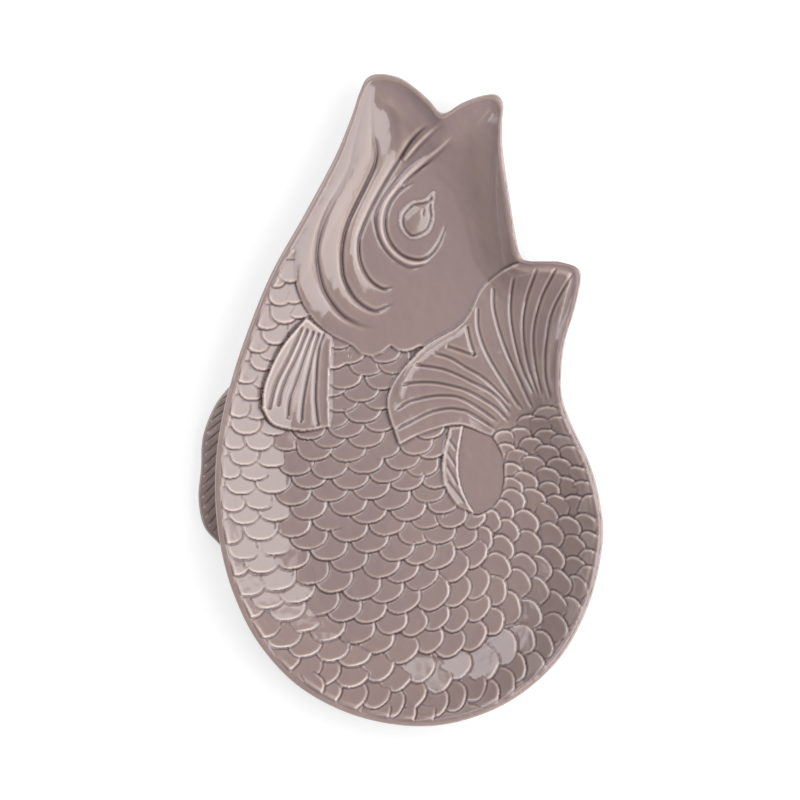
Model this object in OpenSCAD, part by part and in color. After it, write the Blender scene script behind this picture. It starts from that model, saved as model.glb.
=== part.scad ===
/* [Platter] */
// Length from the jaw tips to the belly
platter_l = 340; // [300:1:380]
// Width from the back fin to the side of the tail
platter_w = 212; // [190:1:236]
// Height of the rim above the table
rim_h = 26; // [22:0.5:32]
// Width of the plain rounded lip round the rim
lip_w = 3.6; // [3:0.1:4.4]
// Width of the plain band between the lip and the relief
band_w = 0.8; // [0.4:0.1:1.4]
/* [Floor and foot] */
// Height of the flat floor above the table
floor_h = 8; // [7.4:0.1:9]
// Thickness of the floor over the foot
floor_t = 5; // [4.4:0.1:5.6]
// Width of the bare ring that the platter stands on
foot_w = 5; // [3.5:0.1:7]
/* [Head] */
// Height of the head over the dish
head_h = 2.2; // [1.6:0.1:3]
// Extra height at the crown of each gill fold
fold_h = 1.3; // [0.6:0.1:1.8]
// Height of the lip along the upper jaw, over the head
lip_ridge_h = 0.8; // [0.4:0.1:1.2]
// Height of the ring and of the band round the eye, over the head
eye_ring_h = 1; // [0.6:0.1:1.4]
// Height of the eyeball over the head
eyeball_h = 1.4; // [0.8:0.1:2]
// Width over which the head and the fins die down towards the rim
head_fade_w = 9; // [6:0.5:12]
/* [Fins] */
// Height of the fins over the dish, at the grooves between their rays
fin_h = 2; // [1.4:0.1:2.6]
// Height of each ray over the grooves
ray_h = 1; // [0.5:0.1:1.4]
// Number of rays on the pectoral fin
pectoral_rays = 6; // [4:1:8]
// Number of rays on the tail fin
tail_rays = 15; // [10:1:18]
// Number of rays on the back fin
back_rays = 11; // [8:1:14]
// Number of rays on the belly fin
belly_rays = 8; // [5:1:10]
// Thickness of the back fin, which stands out from the wall
back_fin_t = 3.6; // [3:0.1:4.4]
// Thickness of the wall over the back fin's root
back_fin_cover = 1.8; // [1.2:0.1:2.6]
// Depth of the back fin's edge below the rim
back_fin_drop = 15; // [12:0.5:16]
/* [Scales] */
// Height of a scale over the dish at its free edge
scale_h = 1.5; // [1:0.1:2]
// Height of a scale over the dish at its root
scale_root_h = 0.2; // [0.1:0.05:0.4]
// Width over which the scales die down towards the rim
scale_fade_w = 4; // [2.5:0.5:6]

/* [Hidden] */

// The outlines are read off a straight view from above, in picture points: x to the right, y down.
// These map them to real sizes: the fish is 407 points wide and 652 long, and its middle is the origin.
view_w_px = 407;
view_l_px = 652;
view_mid_px = [400, 399.5];

// How far the relief is sunk into the dish before the dish is cut from it
sink = 1.6;
// How far a cutting prism reaches past what it cuts
overrun = 1;
// Share of its full height that the relief keeps along the lip
rim_rise_share = 0.3;
// How far a cell reaches into the next one at its foot, as a share of its own size
reach_share = 0.2;
// Steps between two spokes of the rim
spoke_steps = 2;
// Rows of the wall between the lip and the flat floor
wall_rows = 5;
// Steepness of the dished wall: 1 is a plain cone, more is rounder
wall_curve = 1.8;
// Where the underside turns flat, as a share of the way from rim to floor
flat_share = 0.92;
// Height of the wall's inner edge below the rim, as a share of the lip
wall_top_share = 0.12;
// Depth of the lip's outer edge, as a share of its width
lip_depth_share = 1.3;

// Underside rings, as shares of the way from the rim to the floor
under_share = [1, 0.92, 0.68, 0.42, 0.2, 0];
// Rings of the rounded lip, as angles from the inside round to the edge
lip_angles = [180, 120, 60];
// Spoke at the left side, from which the whole floor is in view
cap_spoke = 14 * spoke_steps;

// Spokes round the dish, each from the rim to the edge of the flat floor: rim x, rim y, floor x, floor y
spokes_px = [
    [443, 112.5, 428, 176], [429, 99.5, 422, 176], [416, 88, 417, 177], [400, 77.5, 410, 178],
    [381, 73.5, 404, 180], [367, 77.5, 398, 183], [359, 93, 393, 187], [351, 117, 388, 193],
    [334, 158, 380, 206], [303, 216, 359, 243], [272, 271, 336, 292], [248, 329, 315, 345],
    [230, 384, 299, 395], [218, 440, 289, 441], [215, 492, 286, 487], [220, 544, 291, 530],
    [234, 595, 302, 570], [260, 645, 322, 606], [303, 689, 350, 634], [365, 718, 388, 650],
    [436, 725, 434, 655], [504, 704, 476, 642], [557, 661, 508, 617], [589, 604, 527, 582],
    [603, 542, 535, 540], [600, 500, 534, 508], [590, 463, 528, 480], [571, 422, 516, 447],
    [562.5, 397, 509, 415], [561.5, 373, 507, 385], [565, 342, 507, 352], [575, 308, 505, 325],
    [581, 278, 501, 305], [576, 266, 496, 294], [556, 262, 488, 282], [535, 262.5, 480, 273],
    [522, 257, 474, 263], [516, 236, 468, 246], [509, 192, 462, 218], [503, 150, 452, 195],
    [502.5, 122, 447, 187], [503.5, 104, 443, 183], [497, 94.5, 440, 180], [483, 95, 437, 178],
    [463, 102, 433, 177]
];

// Head: the edges that its strips share, each from the jaw towards the gills
head_back_px = [
    [366, 84], [358, 106], [350, 128], [339, 156], [322, 188], [306, 216], [297, 236], [295, 262],
    [297, 287], [307, 310], [325, 330], [352, 344]
];
fold_2_px = [
    [371, 82], [364, 108], [357, 134], [349, 169], [336, 194], [325, 216], [318, 240], [317, 262],
    [321, 284], [333, 305], [352, 320], [383, 323]
];
fold_1_px = [
    [375, 81], [372, 104], [373, 132], [375, 158], [367, 181], [356, 204], [346, 228], [342, 252],
    [344, 278], [353, 296], [372, 309], [399, 299]
];
mouth_px = [
    [383, 80], [412, 92], [440, 115], [422, 129], [404, 150], [389, 175], [374, 202], [362, 229],
    [359, 255], [364, 271], [377, 285], [396, 285]
];
cheek_px = [
    [440, 116], [422, 129], [404, 150], [389, 175], [374, 202], [362, 229], [359, 255], [364, 271],
    [377, 285], [396, 285], [399, 299], [392, 313], [383, 323], [372, 336], [352, 344]
];
nape_px = [
    [496, 99], [498, 118], [498, 140], [500, 162], [504, 186], [508, 212], [512, 238], [518, 264],
    [512, 280], [498, 297], [482, 314], [470, 334], [452, 343], [420, 346], [390, 344]
];
lip_out_px = [[490, 100], [476, 102], [462, 107], [445, 116], [430, 127], [416, 140], [403, 157]];
lip_in_px = [[493, 104], [478, 107], [464, 113], [449, 121], [435, 132], [421, 145], [406, 161]];
socket_out_px = [
    [440, 146], [424, 154], [406, 169], [390, 187], [379, 203], [375, 219], [378, 237], [387, 253],
    [402, 264], [417, 266], [432, 259], [446, 243]
];
socket_in_px = [
    [437, 155], [422, 167], [407, 182], [396, 193], [388, 206], [385, 222], [388, 237], [396, 248],
    [409, 257], [421, 259], [431, 253], [441, 240]
];
eye_out_px = [[434, 191], [421, 197], [406, 205], [400, 219], [405, 233], [416, 238], [427, 232], [433, 218]];
eye_in_px = [[431, 199], [420, 203], [409, 209], [404, 219], [408, 230], [416, 234], [424, 229], [429, 217]];
eye_mid_px = [418, 217];

// Fins: cross lines from the root to the tip, each in the order of the rays
pectoral_px = [
    [[306, 317], [313, 323], [322, 330], [331, 336]],
    [[281, 348], [296, 352], [313, 355], [330, 356]],
    [[265, 383], [285, 389], [307, 392], [328, 392]],
    [[262, 408], [273, 424], [301, 430], [329, 426]]
];
tail_px = [
    [[491, 435], [495, 427], [502, 420], [514, 414], [528, 411], [544, 407], [561, 401]],
    [[459, 424], [455, 407], [473, 385], [500, 364], [520, 350], [543, 345], [565, 352]],
    [[424, 432], [416, 402], [437, 368], [478, 342], [500, 310], [536, 298], [575, 304]],
    [[399, 444], [388, 396], [420, 350], [464, 321], [486, 284], [526, 261], [585, 262]]
];
back_in_px = [[250, 376], [246, 392], [241, 418], [238, 445], [237, 472], [238, 500], [241, 524]];
back_out_px = [[231.5, 382], [214, 405], [202, 436], [200, 468], [197.5, 498], [203, 526], [219, 545]];
belly_in_px = [[464, 425], [459, 450], [461, 480], [467, 503], [474, 514]];
belly_out_px = [[452, 425], [443, 450], [443, 480], [453, 499], [470, 511]];
loop_px = [
    [458, 420], [474, 422], [487, 430], [496, 441], [503, 455], [505, 470], [504, 486], [499, 500],
    [489, 510], [475, 515], [464, 504], [453, 480], [452, 450]
];
// Scales: where the free edge's middle is, how far it is turned from straight down, and half its width
flank_scales_px = [
    [290, 282, 0, 11], [276, 287, 0, 9], [280, 305, 0, 11], [293, 303, 0, 12], [267, 329, 0, 12],
    [284, 323, 0, 13], [299, 318, 0, 12], [275, 344, 0, 13], [258, 352, 0, 11], [263, 370, 0, 13],
    [271, 360, 0, 12], [246, 383, 0, 11], [264, 388, 0, 13], [252, 400, 0, 13], [239, 417, 0, 11],
    [257, 419, 0, 14], [246, 434, 0, 15], [273, 435, 0, 16], [341, 348, 8, 13], [335, 368, 10, 16],
    [352, 363, 12, 16], [387, 362, 10, 16], [368, 375, 5, 18], [396, 373, 8, 16], [346, 388, 8, 18],
    [384, 389, 5, 18], [332, 396, 5, 16], [362, 401, 5, 19], [381, 409, 5, 17], [343, 411, 8, 18],
    [364, 422, 5, 19], [335, 427, 10, 16], [382, 431, 6, 18], [348, 437, 8, 19], [331, 447, 8, 18],
    [367, 447, 6, 19], [349, 461, 6, 19], [385, 458, 10, 18], [419, 454, 12, 17], [405, 469, 10, 18],
    [432, 438, 12, 16], [433, 458, 8, 16], [235, 449, 0, 11], [259, 450, 0, 14], [287, 450, 2, 17],
    [316, 460, 6, 18], [309, 439, 2, 17], [244, 465, 0, 14], [272, 467, 2, 17], [297, 475, 6, 18],
    [331, 478, 8, 19], [366, 473, 6, 19], [388, 482, 10, 18], [424, 476, 8, 17], [230, 478, 0, 11],
    [254, 480, 0, 15], [273, 493, 3, 18], [310, 488, 5, 18], [352, 489, 7, 19], [373, 499, 8, 19],
    [408, 490, 8, 18], [437, 488, 5, 15], [241, 494, 0, 15], [259, 509, 0, 16], [294, 505, 6, 18],
    [331, 501, 7, 19], [350, 515, 8, 19], [394, 509, 10, 19], [430, 502, 6, 17], [233, 511, 0, 12],
    [244, 524, 0, 15], [275, 521, 3, 17], [310, 519, 8, 18], [370, 523, 8, 19], [411, 520, 12, 18],
    [445, 513, 10, 16], [260, 540, 0, 17], [294, 537, 6, 18], [332, 530, 8, 19], [351, 541, 8, 19],
    [390, 535, 12, 19]
];
belly_scales_px = [
    [430, 528, 12, 17], [456, 527, 18, 15], [231, 543, 5, 12], [245, 559, 3, 16], [276, 555, 5, 18],
    [310, 549, 8, 19], [372, 552, 10, 19], [418, 544, 10, 18], [443, 543, 14, 16], [466, 547, 20, 16],
    [480, 526, 35, 12], [262, 573, 3, 17], [293, 569, 8, 18], [330, 560, 8, 19], [351, 571, 10, 19],
    [400, 560, 15, 18], [424, 563, 22, 17], [444, 567, 25, 18], [238, 575, 8, 12], [251, 595, 8, 16],
    [280, 590, 10, 18], [313, 584, 12, 18], [385, 577, 15, 19], [463, 576, 45, 17], [482, 563, 45, 16],
    [337, 592, 14, 19], [365, 599, 15, 20], [406, 581, 20, 18], [428, 587, 30, 18], [270, 608, 8, 17],
    [301, 602, 18, 18], [325, 614, 20, 19], [391, 601, 22, 18], [409, 611, 28, 19], [443, 604, 45, 19],
    [466, 599, 52, 18], [487, 590, 60, 17], [253, 617, 10, 13], [290, 620, 12, 18], [349, 620, 22, 18],
    [373, 622, 18, 18], [267, 637, 10, 15], [308, 631, 16, 18], [396, 633, 20, 16], [420, 633, 35, 15],
    [443, 626, 40, 16], [464, 626, 50, 15], [486, 615, 50, 16], [287, 647, 12, 18], [332, 640, 20, 18],
    [360, 643, 16, 19], [380, 653, 16, 18], [438, 648, 45, 16], [459, 652, 45, 17], [482, 644, 50, 17],
    [308, 656, 14, 17], [337, 660, 20, 17], [357, 666, 14, 18], [410, 660, 35, 17], [294, 667, 40, 15],
    [314, 677, 36, 17], [331, 682, 30, 16], [356, 686, 18, 17], [387, 677, 40, 16], [429, 677, 45, 16],
    [403, 688, 35, 16], [467, 673, 50, 16], [496, 671, 60, 18], [321, 694, 55, 14], [337, 699, 50, 15],
    [361, 704, 42, 16], [383, 704, 36, 15], [422, 701, 50, 15], [448, 686, 52, 15], [402, 708, 60, 15],
    [389, 714, 66, 13], [415, 716, 70, 13], [446, 707, 62, 15], [434, 716, 70, 13], [465, 700, 70, 15],
    [485, 690, 70, 15], [499, 694, 82, 14], [515, 683, 88, 15], [517, 648, 85, 18], [504, 624, 78, 14],
    [507, 592, 85, 15]
];
tail_scales_px = [
    [493, 539, 90, 13], [500, 517, 112, 12], [521, 605, 100, 17], [526, 665, 95, 15], [535, 636, 105, 15],
    [540, 608, 118, 15], [552, 640, 112, 14], [544, 660, 112, 13], [565, 620, 122, 14], [563, 597, 128, 15],
    [546, 583, 128, 14], [528, 576, 124, 15], [508, 560, 124, 15], [511, 541, 128, 14], [516, 524, 130, 13],
    [533, 559, 130, 14], [549, 562, 125, 14], [567, 575, 132, 15], [560, 550, 135, 15], [537, 535, 134, 14],
    [534, 514, 138, 14], [511, 504, 132, 12], [559, 527, 136, 14], [581, 539, 136, 13], [583, 561, 134, 13],
    [584, 580, 130, 12], [579, 602, 128, 13], [551, 506, 144, 15], [575, 519, 144, 13], [594, 533, 148, 11],
    [595, 551, 146, 11], [595, 568, 142, 11], [590, 515, 152, 12], [548, 406, 180, 15], [527, 415, 188, 12],
    [539, 417, 180, 12], [559, 416, 175, 12], [503, 430, 188, 10], [520, 427, 180, 12], [547, 429, 176, 12],
    [532, 437, 176, 12], [563, 435, 172, 13], [507, 443, 175, 10], [549, 445, 170, 13], [573, 446, 166, 13],
    [520, 449, 170, 12], [535, 456, 168, 13], [562, 458, 166, 13], [515, 463, 162, 11], [551, 468, 162, 13],
    [581, 467, 160, 13], [530, 473, 155, 13], [568, 477, 165, 12], [517, 479, 150, 12], [551, 482, 168, 11],
    [586, 481, 165, 12], [519, 491, 148, 13], [538, 490, 154, 13], [561, 496, 158, 13], [579, 496, 160, 12],
    [594, 495, 160, 10]
];
// Outline of one scale, in half widths back from the tip and to the side, and height from root to tip
scale_edge_share = [
    [2.1, 0, 0], [0.58, -0.96, 0.7], [0.04, -0.48, 1], [0.04, 0.48, 1], [0.58, 0.96, 0.7]
];
// Scales at a field's end that reach over the next field
overlap_count = 26;

// A ray from side to side: places of its groove and its two edges, and their heights
ray_place_share = [0, 0.22, 0.78];
ray_height_share = [0, 1, 1];
// Height of a ray at its root
ray_root_share = 0.5;
// How far a fold has risen at its ends, as a share of its length
fold_fade_share = 0.08;
// Height of a ridge's two sides
ridge_edge_share = 0.25;
// Heights across the ring round the eye, and the height at the eyeball's edge
eye_rim_share = [0.35, 1, 0.35];
eyeball_edge_share = 0.15;

// Cells along and across each form
head_rows = 16;
fold_columns = 4;
ridge_columns = 2;
cheek_rows = 16;
cheek_columns = 4;
lip_rows = 12;
socket_rows = 14;
eye_sides = 16;
eye_rings = 3;
pectoral_rows = 4;
tail_rows = 5;

// Where a picture point lies on the platter
function at(p) = [
    (p[0] - view_mid_px[0]) * platter_w / view_w_px,
    (view_mid_px[1] - p[1]) * platter_l / view_l_px
];
function place(list) = [for (p = list) at(p)];
function point_at(p, z) = [p[0], p[1], z];
function mix(a, b, s) = a + (b - a) * s;
function clip(v) = min(max(v, 0), 1);

// A smooth curve through points, a cubic between each two: place s on a list, where a whole number is a point
function cubic(a, b, c, d, s) =
    (2 * b + (c - a) * s + (2 * a - 5 * b + 4 * c - d) * s * s + (3 * b - a - 3 * c + d) * s * s * s) / 2;
function on_curve(list, s) =
    let (last = len(list) - 1, i = min(max(floor(s), 0), last - 1))
    cubic(
        i > 0 ? list[i - 1] : 2 * list[0] - list[1], list[i], list[i + 1],
        i + 2 <= last ? list[i + 2] : 2 * list[last] - list[last - 1], s - i
    );
function on_loop(list, s) =
    let (n = len(list), i = floor(s))
    cubic(list[(i + n - 1) % n], list[i % n], list[(i + 1) % n], list[(i + 2) % n], s - i);
// The same, with s from 0 to 1 over the whole list
function along(list, s) = on_curve(list, s * (len(list) - 1));

spoke_count = len(spokes_px) * spoke_steps;
spokes = [for (i = [0:spoke_count - 1]) on_loop(spokes_px, i / spoke_steps)];
rim_line = [for (s = spokes) at([s[0], s[1]])];
floor_line = [for (s = spokes) at([s[2], s[3]])];
lip_line = [for (i = [0:spoke_count - 1]) on_spoke(i, lip_w)];
// The band's line has its points half way between the spokes
band_line = [for (i = [0:spoke_count - 1]) inward(on_loop(spokes_px, (i + 0.5) / spoke_steps), lip_w + band_w)];
wall_top_h = rim_h - lip_w * wall_top_share;

// The point a given length in from the rim, along any spoke or along spoke i
function inward(spoke, length) =
    let (rim = at([spoke[0], spoke[1]]), way = at([spoke[2], spoke[3]]) - rim) rim + way * length / norm(way);
function on_spoke(i, length) = inward(spokes[i], length);

// Distance from a point to a closed line, and whether the line goes round the point
function gap_to_edge(p, a, b) = let (d = b - a) norm(p - a - d * clip((p - a) * d / (d * d)));
function gap_to(p, line) =
    let (n = len(line)) min([for (i = [0:n - 1]) gap_to_edge(p, line[i], line[(i + 1) % n])]);
function crossings(p, line) =
    let (n = len(line))
    len([
        for (i = [0:n - 1])
            let (a = line[i], b = line[(i + 1) % n])
                if ((a[1] > p[1]) != (b[1] > p[1]))
                    if (p[0] < a[0] + (b[0] - a[0]) * (p[1] - a[1]) / (b[1] - a[1])) 1
    ]);
function inside(p, line) = crossings(p, line) % 2 == 1;

// Height of the dish at a point: flat floor in the middle, a wall that steepens towards the lip
function rim_gap(p) = inside(p, lip_line) ? gap_to(p, lip_line) : 0;
function dish_z(p) =
    inside(p, floor_line) ? floor_h :
    let (in = gap_to(p, floor_line))
    floor_h + (wall_top_h - floor_h) * pow(in / (in + rim_gap(p)), wall_curve);
// Share of its full height that the relief has at a point
function rise(p, fade_w) = mix(rim_rise_share, 1, clip(rim_gap(p) / fade_w));
// Height of the underside at a share of the way from the rim to the floor
function under_z(share) =
    let (top = rim_h - lip_w * lip_depth_share, bottom = floor_h - floor_t)
    bottom + (top - bottom) * pow(1 - min(share / flat_share, 1), wall_curve);

// Closed skin over rings of points, the first and last closed by strips across
function ring_faces(count, rings) = concat(
    [
        for (k = [0:rings - 2], i = [0:count - 1])
            let (j = (i + 1) % count) [k * count + i, (k + 1) * count + j, k * count + j]
    ],
    [
        for (k = [0:rings - 2], i = [0:count - 1])
            let (j = (i + 1) % count) [k * count + i, (k + 1) * count + i, (k + 1) * count + j]
    ]
);
// Flat cap of a ring: a fan from one of its points, seen from above or from below
function cap_faces(base, count, first, from_above) = [
    for (i = [1:count - 2])
        let (a = base + first, b = base + (first + i) % count, c = base + (first + i + 1) % count)
        from_above ? [a, c, b] : [a, b, c]
];

// Corner of a scale: a share of its half width back from the tip and to the side
function scale_corner(scale, back, side) =
    let (turn = scale[2], size = scale[3])
    at([
        scale[0] + size * (side * cos(turn) - back * sin(turn)),
        scale[1] - size * (side * sin(turn) + back * cos(turn))
    ]);

// Grids of places, as rows of points. First, between two edge curves, with rows along them
function between(a, b, rows, columns) = [
    for (j = [0:rows]) let (p = at(along(a, j / rows)), q = at(along(b, j / rows)))
        [for (i = [0:columns]) mix(p, q, i / columns)]
];
// Next, rings from an outline to a smaller one or to a point
function rings_between(a, b, sides, rings) = [
    for (j = [0:rings]) [
        for (i = [0:sides]) let (p = at(along(closed(a), i / sides)), q = at(along(closed(b), i / sides)))
            mix(p, q, j / rings)
    ]
];
function closed(list) = concat(list, [list[0]]);
// Last, across lines from root to tip, with the places of a ray's grooves and edges for columns
function across(lines, rows, rays) = [
    for (j = [0:rows]) [
        for (c = ray_places(rays)) at(along([for (line = lines) along(line, c)], j / rows))
    ]
];
function ray_places(rays) = concat([for (r = [0:rays - 1], s = ray_place_share) (r + s) / rays], [1]);
function ray_heights(rays) = concat([for (r = [0:rays - 1], s = ray_height_share) s], [0]);
// The closed outline of a grid
function grid_outline(grid) =
    let (last = len(grid) - 1, end = len(grid[0]) - 1)
    concat(
        grid[0], [for (j = [1:last]) grid[j][end]],
        [for (i = [end - 1:-1:0]) grid[last][i]], [for (j = [last - 1:-1:1]) grid[j][0]]
    );

// Grids of heights: level, crowned from side to side, ridged on the head, and rayed from the root on
// Two grids that share a column become one
function side_by_side(grids) = [
    for (j = [0:len(grids[0]) - 1]) concat(grids[0][j], [for (i = [1:len(grids[1][j]) - 1]) grids[1][j][i]])
];
function level(grid, h) = [for (row = grid) [for (p = row) h]];
function crowned(grid, h, crown) =
    let (rows = len(grid) - 1, columns = len(grid[0]) - 1)
    [
        for (j = [0:rows]) [
            for (i = [0:columns])
                h + crown * sin(180 * i / columns) * sin(180 * mix(fold_fade_share, 1 - fold_fade_share, j / rows))
        ]
    ];
function ridged(grid, ridge) = [
    for (row = grid) [
        for (i = [0:len(row) - 1]) head_h + ridge * mix(ridge_edge_share, 1, sin(180 * i / (len(row) - 1)))
    ]
];
function rayed(grid, rays, h, ray) =
    let (rows = len(grid) - 1)
    [for (j = [0:rows]) [for (s = ray_heights(rays)) h + ray * s * mix(ray_root_share, 1, j / rows)]];

head_back_grid = between(head_back_px, fold_2_px, head_rows, fold_columns);
head_fold_grid = between(fold_2_px, fold_1_px, head_rows, fold_columns);
lower_jaw_grid = between(fold_1_px, mouth_px, head_rows, fold_columns);
upper_jaw_grid = between(cheek_px, nape_px, cheek_rows, cheek_columns);
pectoral_grid = across(pectoral_px, pectoral_rows, pectoral_rays);
tail_grid = across(tail_px, tail_rows, tail_rays);

module hull_of(points) {
    hull() polyhedron(points, [[for (i = [0:len(points) - 1]) i]]);
}
// A form laid on the dish, from a grid of places and a grid of heights over the dish: one cell after another.
// Under the surface each cell reaches a little into the next, and the outer sides stay upright. Towards the
// rim the whole height dies down, or only the base that a ridge stands on.
module laid_on(grid, heights, ring = false, base = undef) {
    rows = len(grid) - 1;
    columns = len(grid[0]) - 1;
    for (j = [0:rows - 1], i = [0:columns - 1]) {
        hull_of([
            for (dj = [0, 1], di = [0, 1])
                let (
                    p = grid[j + dj][i + di], z = dish_z(p), h = heights[j + dj][i + di],
                    lost = (is_undef(base) ? h : base) * (1 - rise(p, head_fade_w)),
                    at_side = !ring && (i + di == 0 || i + di == columns),
                    at_end = j + dj == 0 || j + dj == rows, next = grid[j + dj][i + 1 - di],
                    reach = at_side || at_end ? [0, 0] : 2 * p - next - grid[j + 1 - dj][i + di]
                )
                each [
                    point_at(p, z + h - lost),
                    point_at(p + reach * reach_share, z - sink)
                ]
        ]);
    }
}
// Outline prism, which cuts one form clear of another
module prism(outline) {
    linear_extrude(height = rim_h + overrun) polygon(outline);
}

// A form cut to the inside of the lip and clear of the dish
module seated() {
    difference() {
        intersection() {
            children();
            prism(band_line);
        }
        dish_solid();
    }
}

module dish_solid() {
    last = spoke_count - 1;
    rings = concat(
        [for (f = under_share) [for (i = [0:last]) point_at(mix(rim_line[i], floor_line[i], f), under_z(f))]],
        [
            for (a = lip_angles) [
                for (i = [0:last])
                    point_at(on_spoke(i, lip_w * (1 + cos(a)) / 2), rim_h - lip_w * (1 - sin(a)) / 2)
            ]
        ],
        [
            for (k = [0:wall_rows]) [
                for (i = [0:last])
                    let (p = mix(lip_line[i], floor_line[i], k / wall_rows))
                    point_at(p, k == 0 ? wall_top_h : k == wall_rows ? floor_h : dish_z(p))
            ]
        ]
    );
    count = len(rings);
    polyhedron(
        [for (r = rings) each r],
        concat(
            ring_faces(spoke_count, count),
            cap_faces(0, spoke_count, cap_spoke, false),
            cap_faces((count - 1) * spoke_count, spoke_count, cap_spoke, true)
        )
    );
}

module platter_body() {
    color("#a39088") dish_solid();
}

module foot_ring() {
    inner = [for (i = [0:spoke_count - 1]) on_spoke(i, norm(floor_line[i] - rim_line[i]) + foot_w)];
    color("#d9cdbf")
    linear_extrude(height = floor_h - floor_t) difference() {
        polygon(floor_line);
        polygon(inner);
    }
}

// Head
module upper_jaw_form() {
    laid_on(upper_jaw_grid, level(upper_jaw_grid, head_h));
}
module upper_jaw() {
    color("#a08d87") difference() {
        seated() upper_jaw_form();
        prism(grid_outline(tail_grid));
    }
}
// A ridge that stands on the upper jaw between two curves
module on_jaw(grid, heights, ring = false) {
    difference() {
        seated() laid_on(grid, heights, ring, head_h);
        upper_jaw_form();
    }
}
// A band of the upper jaw raised along the mouth, so that it follows the jaw at any depth of the dish
module upper_lip() {
    grid = between(lip_out_px, lip_in_px, lip_rows, ridge_columns);
    color("#b3a099") difference() {
        intersection() {
            translate([0, 0, lip_ridge_h]) upper_jaw_form();
            prism(grid_outline(grid));
            prism(band_line);
        }
        upper_jaw_form();
        dish_solid();
    }
}
module eye_socket() {
    grid = between(socket_out_px, socket_in_px, socket_rows, ridge_columns);
    color("#ad9a93") on_jaw(grid, ridged(grid, eye_ring_h));
}
module eye_rim() {
    grid = rings_between(eye_out_px, eye_in_px, eye_sides, 2);
    color("#b09d96")
        on_jaw(grid, [for (s = eye_rim_share) [for (p = grid[0]) head_h + eye_ring_h * s]], ring = true);
}
module eyeball() {
    grid = rings_between(eye_in_px, [for (p = eye_in_px) eye_mid_px], eye_sides, eye_rings);
    rise = [for (j = [0:eye_rings]) mix(eyeball_edge_share, 1, sin(90 * j / eye_rings))];
    color("#9a8780") on_jaw(grid, [for (r = rise) [for (p = grid[0]) head_h + eyeball_h * r]], ring = true);
}
module lower_jaw() {
    color("#ab9893") seated() laid_on(lower_jaw_grid, crowned(lower_jaw_grid, head_h, fold_h));
}
// The two folds of the gill cover meet in a groove
module gill_cover() {
    grids = [head_back_grid, head_fold_grid];
    heights = [for (grid = grids) crowned(grid, head_h, fold_h)];
    color("#b5a29c") seated() laid_on(side_by_side(grids), side_by_side(heights));
}
module head_prisms() {
    for (grid = [head_back_grid, head_fold_grid, lower_jaw_grid, upper_jaw_grid]) prism(grid_outline(grid));
}

// Fins
module pectoral_fin() {
    color("#b8a59f") difference() {
        seated() laid_on(pectoral_grid, rayed(pectoral_grid, pectoral_rays, fin_h, ray_h));
        head_prisms();
    }
}
module tail_fin() {
    color("#a5928b") seated() laid_on(tail_grid, rayed(tail_grid, tail_rays, fin_h, ray_h));
}
module belly_fin() {
    steps = belly_rays * len(ray_place_share);
    grid = between(belly_in_px, belly_out_px, steps, 1);
    rays = ray_heights(belly_rays);
    color("#a5928b") difference() {
        seated() laid_on(grid, [for (j = [0:steps]) [for (p = grid[0]) fin_h + ray_h * rays[j]]]);
        prism(grid_outline(tail_grid));
    }
}
// The back fin stands out from the wall, outside the rim, and slopes down
module back_fin() {
    places = ray_places(back_rays);
    rays = ray_heights(back_rays);
    color("#7f706b") difference() {
        for (j = [0:len(places) - 2]) {
            corners = [
                for (k = [j, j + 1]) each [at(along(back_in_px, places[k])), at(along(back_out_px, places[k]))]
            ];
            tops = [
                for (k = [j, j + 1])
                    let (root = dish_z(at(along(back_in_px, places[k]))))
                    each [root - back_fin_cover - ray_h, rim_h - back_fin_drop]
            ];
            rises = [for (k = [j, j + 1]) each [ray_h * rays[k], ray_h * rays[k]]];
            hull_of([
                for (k = [0:3])
                    each [point_at(corners[k], tops[k] + rises[k]), point_at(corners[k], tops[k] - back_fin_t)]
            ]);
        }
        dish_solid();
    }
}

// Scales: each is a tile that rises from its root to its free edge
module scale_tile(scale) {
    hull_of([
        for (e = scale_edge_share)
            let (p = scale_corner(scale, e[0], e[1]), z = dish_z(p))
            each [
                point_at(p, z + mix(scale_root_h, scale_h * rise(p, scale_fade_w), e[2])),
                point_at(p, z - sink)
            ]
    ]);
}
// A field of scales, clear of the field before it and of the head, the fins and the bare oval
module scale_field(scales, before = []) {
    difference() {
        seated() for (scale = scales) scale_tile(scale);
        for (i = [max(len(before) - overlap_count, 0):1:len(before) - 1]) scale_tile(before[i]);
        head_prisms();
        prism(grid_outline(pectoral_grid));
        prism(grid_outline(tail_grid));
        prism(grid_outline(between(belly_in_px, belly_out_px, belly_rays * len(ray_place_share), 1)));
        prism(place(loop_px));
    }
}
module flank_scales() {
    color("#ab9890") scale_field(flank_scales_px);
}
module belly_scales() {
    color("#a08e86") scale_field(belly_scales_px, flank_scales_px);
}
module tail_scales() {
    color("#978680") scale_field(tail_scales_px, belly_scales_px);
}

platter_body();
foot_ring();
upper_jaw();
upper_lip();
lower_jaw();
gill_cover();
eye_socket();
eye_rim();
eyeball();
pectoral_fin();
tail_fin();
back_fin();
belly_fin();
flank_scales();
belly_scales();
tail_scales();
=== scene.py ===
"""Fish shaped stoneware platter: a glazed dish with a sculpted relief and a bare foot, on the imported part.

Lengths are in millimetres until a mesh is made. Outlines are read off a straight view from above, in picture
points, x to the right and y down, as in the part's own source. The relief is one height map, as a modeller
would carve it in one slab of clay, and each form is cut out of it as a closed piece.
"""

import logging
from dataclasses import dataclass, field
from enum import Enum

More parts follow.
